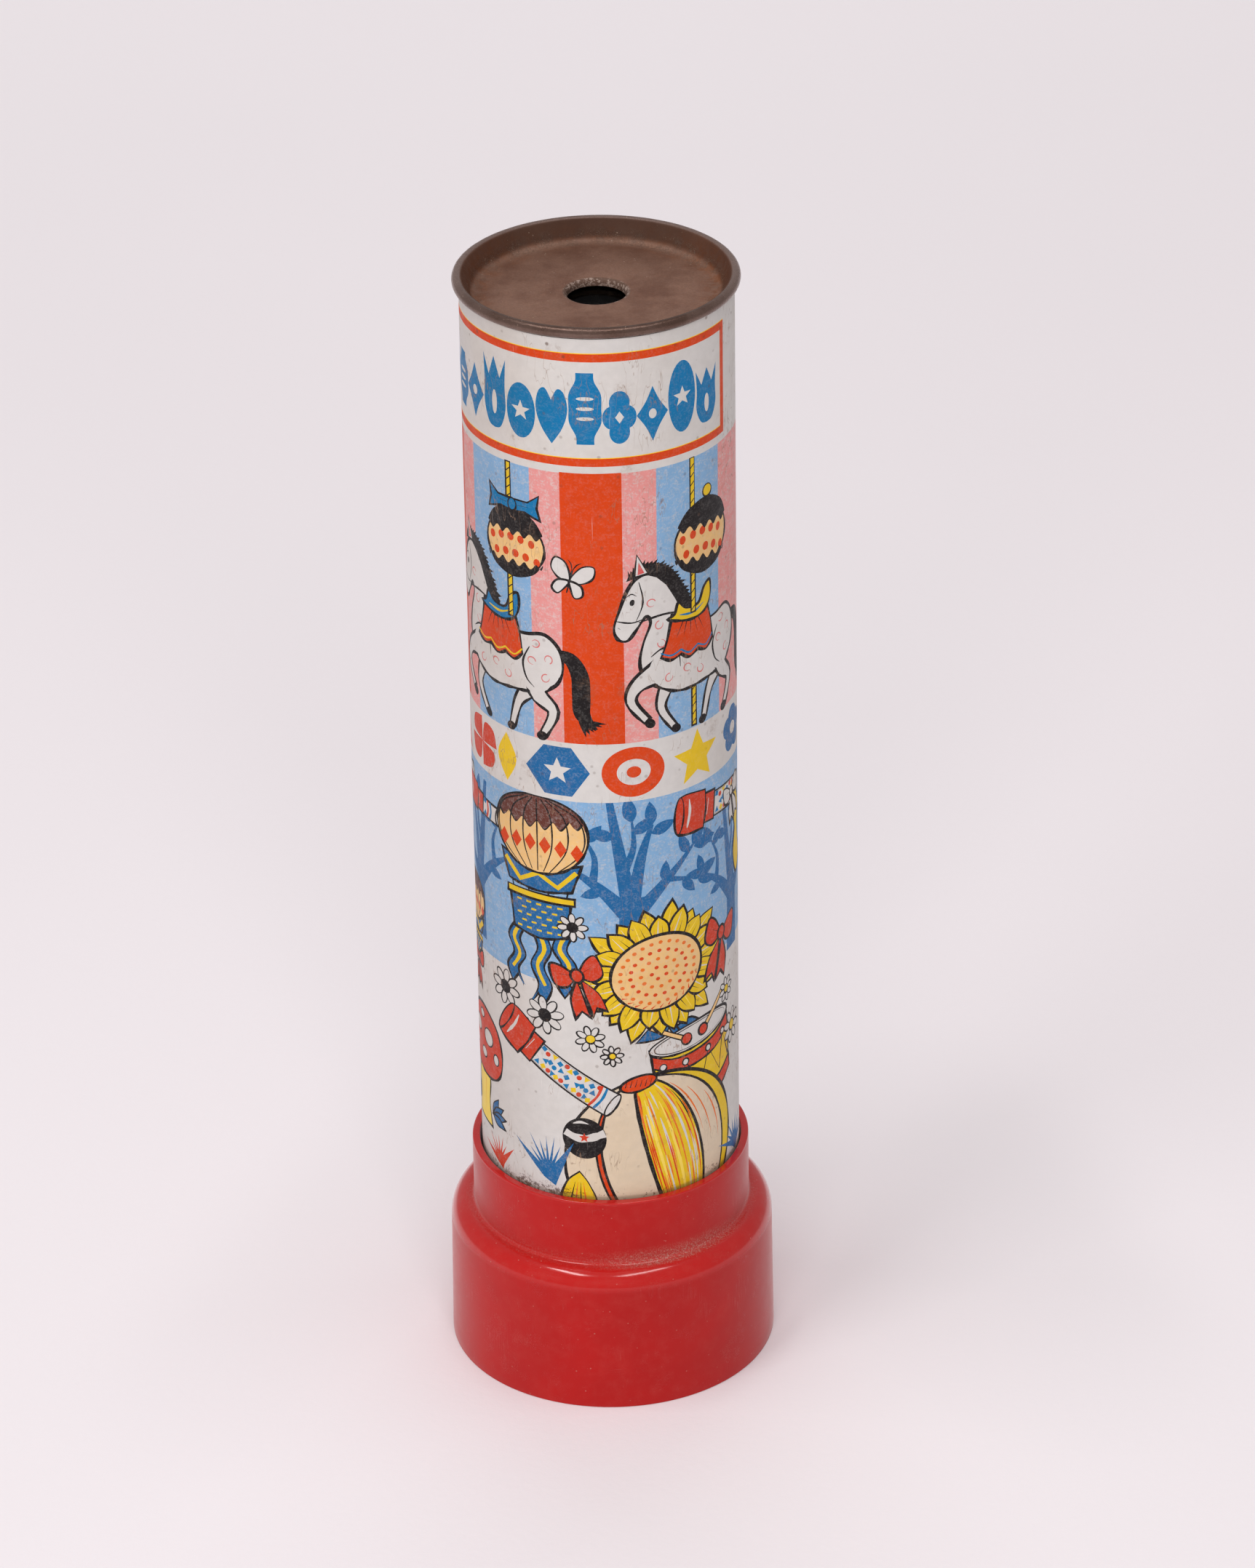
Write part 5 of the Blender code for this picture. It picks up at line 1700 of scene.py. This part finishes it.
def label_material():
    """Screen-printed paper: grain in the light inks, scratches, rubbed spots, grime at both ends, and painted
    shade.
    """
    n = Nodes("printed_paper")
    ink = n.add("ShaderNodeAttribute", attribute_name="ink")
    sheet = n.unrolled(LABEL_R)
    _, angle, height = n.cylinder()
    white = linear(208, 204, 200)
    # bare specks in the light inks, and a faint mottle in all of them
    chalk = n.plus(n.times(n.noise(2.4, 4.0, 0.75, sheet), 0.6), n.times(n.noise(0.7, 3.0, 0.7, sheet), 0.4))
    specks = n.ramp(chalk, 0.47, 0.62)
    colour = n.mix(n.times(n.times(specks, ink.outputs["Alpha"]), 0.6), ink.outputs["Color"], white)
    mottle = n.ramp(n.noise(0.55, 5.0, 0.62, sheet), 0.3, 0.75, 0.95, 1.02)
    colour = n.mix(1.0, colour, mottle, "MULTIPLY")
    # yellowed paper in broad patches
    patches = n.ramp(n.noise(0.035, 4.0, 0.62, sheet), 0.42, 0.7)
    colour = n.mix(n.times(patches, 0.8), colour, (0.93, 0.9, 0.86, 1.0), "MULTIPLY")
    # painted shade: the paper is darker round the left side of the tube
    left_side_shade = n.ramp(n.math("ABSOLUTE", n.plus(angle, 1.3)), 1.0, 0.45)
    colour = n.mix(left_side_shade, colour, (0.9, 0.875, 0.865, 1.0), "MULTIPLY")
    # fine upright scratches
    streaks = n.noise(1.0, 3.0, 0.6, n.stretched(3.4, 0.05, 1.0, sheet))
    where = n.ramp(n.noise(0.09, 2.0, 0.5, sheet), 0.52, 0.66)
    scratch = n.times(n.ramp(streaks, 0.66, 0.72), where)
    colour = n.mix(n.times(scratch, 0.4), colour, linear(236, 230, 226))
    # a few thin brown hairlines that slant
    slant = n.noise(0.6, 2.0, 0.5, n.stretched(1.1, 0.24, 1.0, sheet))
    hairline = n.ramp(n.away(slant, 0.5), 0.012, 0.003)
    hairline = n.times(hairline, n.ramp(n.noise(0.08, 2.0, 0.5, sheet), 0.5, 0.6))
    colour = n.mix(n.times(hairline, 0.55), colour, linear(140, 112, 92))
    # small rubbed spots where the print is gone
    rubbed = n.ramp(n.noise(0.8, 6.0, 0.75, sheet), 0.70, 0.75)
    colour = n.mix(n.times(rubbed, 0.6), colour, white)
    # grime: dark specks, more of them under the rim; above the collar, a brown line of painted shade
    dots = n.ramp(n.cells(0.42, sheet), 0.18, 0.07)
    few = n.ramp(n.noise(0.23, 2.0, 0.5, sheet), 0.42, 0.55)
    under_rim = n.ramp(height, LABEL_TOP - 6.0, LABEL_TOP - 2.2, 0.5, 1.0)
    colour = n.mix(n.times(n.times(dots, few), n.times(under_rim, 0.7)), colour, linear(92, 66, 50))
    smear = n.noise(0.34, 5.0, 0.7, n.stretched(1.0, 0.45, 1.0, sheet))
    foot = n.ramp(height, LIP_Z + 3.4, LIP_Z + 0.2)
    left_of_front = n.ramp(n.math("ABSOLUTE", n.plus(angle, 0.62)), 0.5, 0.15)
    crumbs = n.plus(n.times(n.noise(1.5, 4.0, 0.75, sheet), 0.6), n.times(smear, 0.4))
    lifted = n.plus(n.times(foot, 0.07), n.times(n.times(foot, left_of_front), 0.07))
    grime = n.ramp(n.plus(crumbs, lifted), 0.61, 0.68)
    colour = n.mix(n.times(n.times(foot, grime), 0.85), colour, linear(66, 44, 36))
    # painted shade: a thin brown line just above the collar's lip
    shade = n.ramp(height, LIP_Z + 0.7, LIP_Z + 0.1)
    colour = n.mix(n.times(shade, 0.45), colour, linear(122, 92, 70))
    # brown thumb marks
    smudge = n.times(n.ramp(n.noise(0.11, 3.0, 0.6, sheet), 0.6, 0.72), n.ramp(crumbs, 0.42, 0.62))
    colour = n.mix(n.times(smudge, 0.42), colour, linear(128, 100, 80))
    fibres = n.noise(1.2, 4.0, 0.7, sheet)
    relief = n.plus(n.times(fibres, 0.6), n.times(specks, 0.4))
    n.set(Base_Color=colour, Roughness=n.ramp(n.noise(0.3, 3.0, 0.6, sheet), 0.3, 0.7, 0.42, 0.56),
          Specular_IOR_Level=0.2, Normal=n.bump(relief, 0.012))
    return n.material


build_label()


# ---------------------------------------------------------------- pieces inside
def soften(name, width):
    """Round the sharp edges of a carried-over CAD piece."""
    node = nodes[name]
    weld = node.modifiers.new("weld", "WELD")
    weld.merge_threshold = 0.001 * MM
    bevel = node.modifiers.new("rounded", "BEVEL")
    bevel.width = width * MM
    bevel.segments = 2
    bevel.limit_method = "ANGLE"
    bevel.angle_limit = math.radians(40.0)


def card_material(name, light, dark):
    """Plain pulp card: mottled, with short fibres that lie every way."""
    card = Nodes(name)
    cloud = card.noise(0.12, detail=5.0, roughness=0.65)
    pulp = card.noise(1.4, detail=5.0, roughness=0.75)
    fibres = card.away(card.noise(1.1, detail=3.0, distortion=1.8), 0.5)
    fibres = card.ramp(fibres, 0.03, 0.008)
    colour = card.mix(card.ramp(cloud, 0.3, 0.7), light, dark)
    colour = card.mix(card.ramp(pulp, 0.35, 0.75, 0.0, 0.35), colour, linear(92, 70, 50))
    colour = card.mix(card.times(fibres, 0.3), colour, linear(214, 198, 172))
    relief = card.plus(card.times(pulp, 0.7), card.times(fibres, 0.3))
    rough = card.ramp(pulp, 0.3, 0.7, 0.82, 0.95)
    card.set(Base_Color=colour, Specular_IOR_Level=0.25, Roughness=rough, Normal=card.bump(relief, 0.04))
    return card.material


def felt_material():
    """Dark grey felt, with a nap."""
    felt = Nodes("felt")
    hairs = felt.noise(2.2, detail=6.0, roughness=0.8, distortion=1.2)
    cloud = felt.noise(0.25, detail=3.0)
    colour = felt.mix(felt.ramp(hairs, 0.3, 0.7), linear(38, 38, 40), linear(78, 76, 76))
    colour = felt.mix(felt.ramp(cloud, 0.4, 0.7, 0.0, 0.3), colour, linear(54, 48, 44))
    felt.set(Base_Color=colour, Roughness=0.95, Sheen_Weight=0.4, Normal=felt.bump(hairs, 0.12))
    return felt.material


def bright_metal_material(name, colour, across):
    """Bright sheet or wire. across stretches the fine drawing marks along the piece."""
    metal = Nodes(name)
    marks = metal.noise(2.0, detail=4.0, roughness=0.65, where=metal.stretched(*across))
    stain = metal.noise(0.16, detail=5.0, roughness=0.6)
    tone = metal.mix(metal.ramp(marks, 0.3, 0.7, 0.0, 0.3), colour, linear(140, 136, 130))
    tone = metal.mix(metal.ramp(stain, 0.55, 0.8, 0.0, 0.4), tone, linear(132, 112, 92))
    metal.set(Base_Color=tone, Metallic=1.0)
    metal.set(Roughness=metal.ramp(metal.plus(marks, metal.times(stain, 0.4)), 0.4, 1.0, 0.22, 0.42))
    metal.set(Normal=metal.bump(marks, 0.01))
    return metal.material


def mirror_material():
    """Silvered glass that mirrors on the side towards the axis. It is grey behind and green at its edges."""
    glass = Nodes("mirror_glass")
    faces = glass.add("ShaderNodeTexCoord").outputs["Normal"]
    outwards = glass.add("ShaderNodeVectorMath", operation="NORMALIZE")
    glass.put(outwards.inputs[0], glass.stretched(1.0, 1.0, 0.0))
    facing = glass.add("ShaderNodeVectorMath", operation="DOT_PRODUCT")
    glass.put(facing.inputs[0], faces)
    glass.put(facing.inputs[1], outwards.outputs[0])
    towards = facing.outputs["Value"]
    silvered = glass.ramp(towards, -0.3, -0.36)
    edge = glass.ramp(glass.math("ABSOLUTE", towards), 0.3, 0.22)
    cloud = glass.ramp(glass.noise(0.5, detail=4.0), 0.3, 0.7)
    paint = glass.mix(cloud, linear(118, 122, 124), linear(96, 98, 100))
    dust = glass.ramp(glass.noise(1.6, detail=5.0, roughness=0.8), 0.6, 0.8)
    silver = glass.mix(glass.times(dust, 0.12), linear(238, 242, 240), linear(200, 196, 188))
    colour = glass.mix(silvered, glass.mix(edge, paint, linear(112, 150, 132)), silver)
    rough = glass.plus(glass.ramp(silvered, 0.0, 1.0, 0.5, 0.02), glass.times(dust, 0.04))
    glass.set(Base_Color=colour, Metallic=silvered, Roughness=rough)
    return glass.material


def sheet_material(name, colour, transmission, roughness, ior=1.49):
    """Thin plastic sheet, clear or frosted, with handling scratches."""
    sheet = Nodes(name)
    field = sheet.noise(0.35, detail=3.0, where=sheet.stretched(1.0, 0.12, 1.0))
    scratches = sheet.ramp(sheet.away(field, 0.5), 0.01, 0.002)
    grain = sheet.noise(4.0, detail=3.0, roughness=0.7)
    stain = sheet.ramp(sheet.noise(0.08, detail=3.0), 0.3, 0.7, 0.0, 0.15)
    tint = sheet.mix(stain, colour, linear(200, 190, 160))
    rough = sheet.ramp(grain, 0.3, 0.7, roughness * 0.85, roughness * 1.15)
    sheet.set(Base_Color=tint, Transmission_Weight=transmission, IOR=ior)
    sheet.set(Roughness=sheet.plus(rough, sheet.times(scratches, 0.15)))
    relief = sheet.plus(sheet.times(grain, roughness), sheet.times(scratches, 0.5))
    sheet.set(Normal=sheet.bump(relief, 0.01))
    return sheet.material


def piece_material(hue, deep, pale):
    """Tinted see-through plastic with faint flow lines from the mould."""
    chip = Nodes("piece_" + hue)
    flow = chip.noise(0.35, detail=3.0, distortion=1.5)
    grain = chip.noise(2.6, detail=3.0)
    chip.set(Base_Color=chip.mix(chip.ramp(flow, 0.3, 0.7), deep, pale), Transmission_Weight=0.6, IOR=1.49)
    chip.set(Roughness=chip.ramp(grain, 0.3, 0.7, 0.1, 0.2), Normal=chip.bump(grain, 0.01))
    return chip.material


# Deep and pale tone of each hue of the loose pieces.
HUE_COLOURS = {
    "red": (linear(196, 26, 36), linear(222, 60, 62)),
    "blue": (linear(33, 82, 198), linear(74, 124, 222)),
    "yellow": (linear(234, 198, 38), linear(246, 218, 92)),
    "green": (linear(38, 158, 76), linear(86, 190, 112)),
    "orange": (linear(236, 128, 30), linear(246, 160, 74)),
    "violet": (linear(128, 50, 158), linear(164, 96, 190)),
    "clear": (linear(234, 238, 238), linear(244, 246, 246)),
}
HUES = tuple(HUE_COLOURS)


def dress_insides():
    """Give each piece that is carried over from the CAD its material and its rounded edges."""
    brown = card_material("brown_card", linear(166, 140, 112), linear(150, 122, 94))
    grey = card_material("grey_card", linear(160, 154, 146), linear(140, 134, 127))
    tin = bright_metal_material("inner_tinplate", linear(202, 198, 188), (0.3, 0.3, 2.5))
    steel = bright_metal_material("spring_steel", linear(206, 206, 206), (1.0, 1.0, 0.4))
    clear = sheet_material("clear_plastic", linear(240, 242, 240), 0.94, 0.06)
    frosted = sheet_material("frosted_plastic", linear(236, 236, 230), 0.6, 0.55)
    # The eyepiece window is tinted dark grey so that the peephole looks black: painted shade for the unlit
    # inside.
    shaded_eye_window = sheet_material("shaded_eye_window", linear(96, 96, 96), 1.0, 0.02, 1.06)
    glass = mirror_material()
    plain = {                           # piece: its material, and how far its edges are rounded, in mm
        "card_tube": (brown, 0.15), "mirror_sleeve": (brown, 0.1), "object_mask": (brown, 0.1),
        "eye_disc": (brown, 0.1), "cell_ring": (brown, 0.15), "tube_ferrule": (tin, 0.08),
        "felt_washer": (felt_material(), 0.1), "retaining_ring": (steel, 0.02),
        "eyepiece_window": (shaded_eye_window, 0.1), "cell_window": (clear, 0.1), "diffuser_disc": (frosted, 0.15),
    }
    for number in (1, 2, 3):
        plain[f"mirror_{number}"] = (glass, 0.12)
        plain[f"packing_strip_{number}"] = (grey, 0.2)
    chips = {hue: piece_material(hue, *HUE_COLOURS[hue]) for hue in HUES}
    for name in nodes:
        if name.startswith("loose_"):
            number = int(name.rsplit("_", 1)[1])
            plain[name] = (chips[HUES[(number - 1) * 3 % len(HUES)]], 0.22)
    for name, (material, width) in plain.items():
        soften(name, width)
        dress(nodes[name], material)


dress_insides()


# ---------------------------------------------------------------- end
bpy.context.view_layer.update()
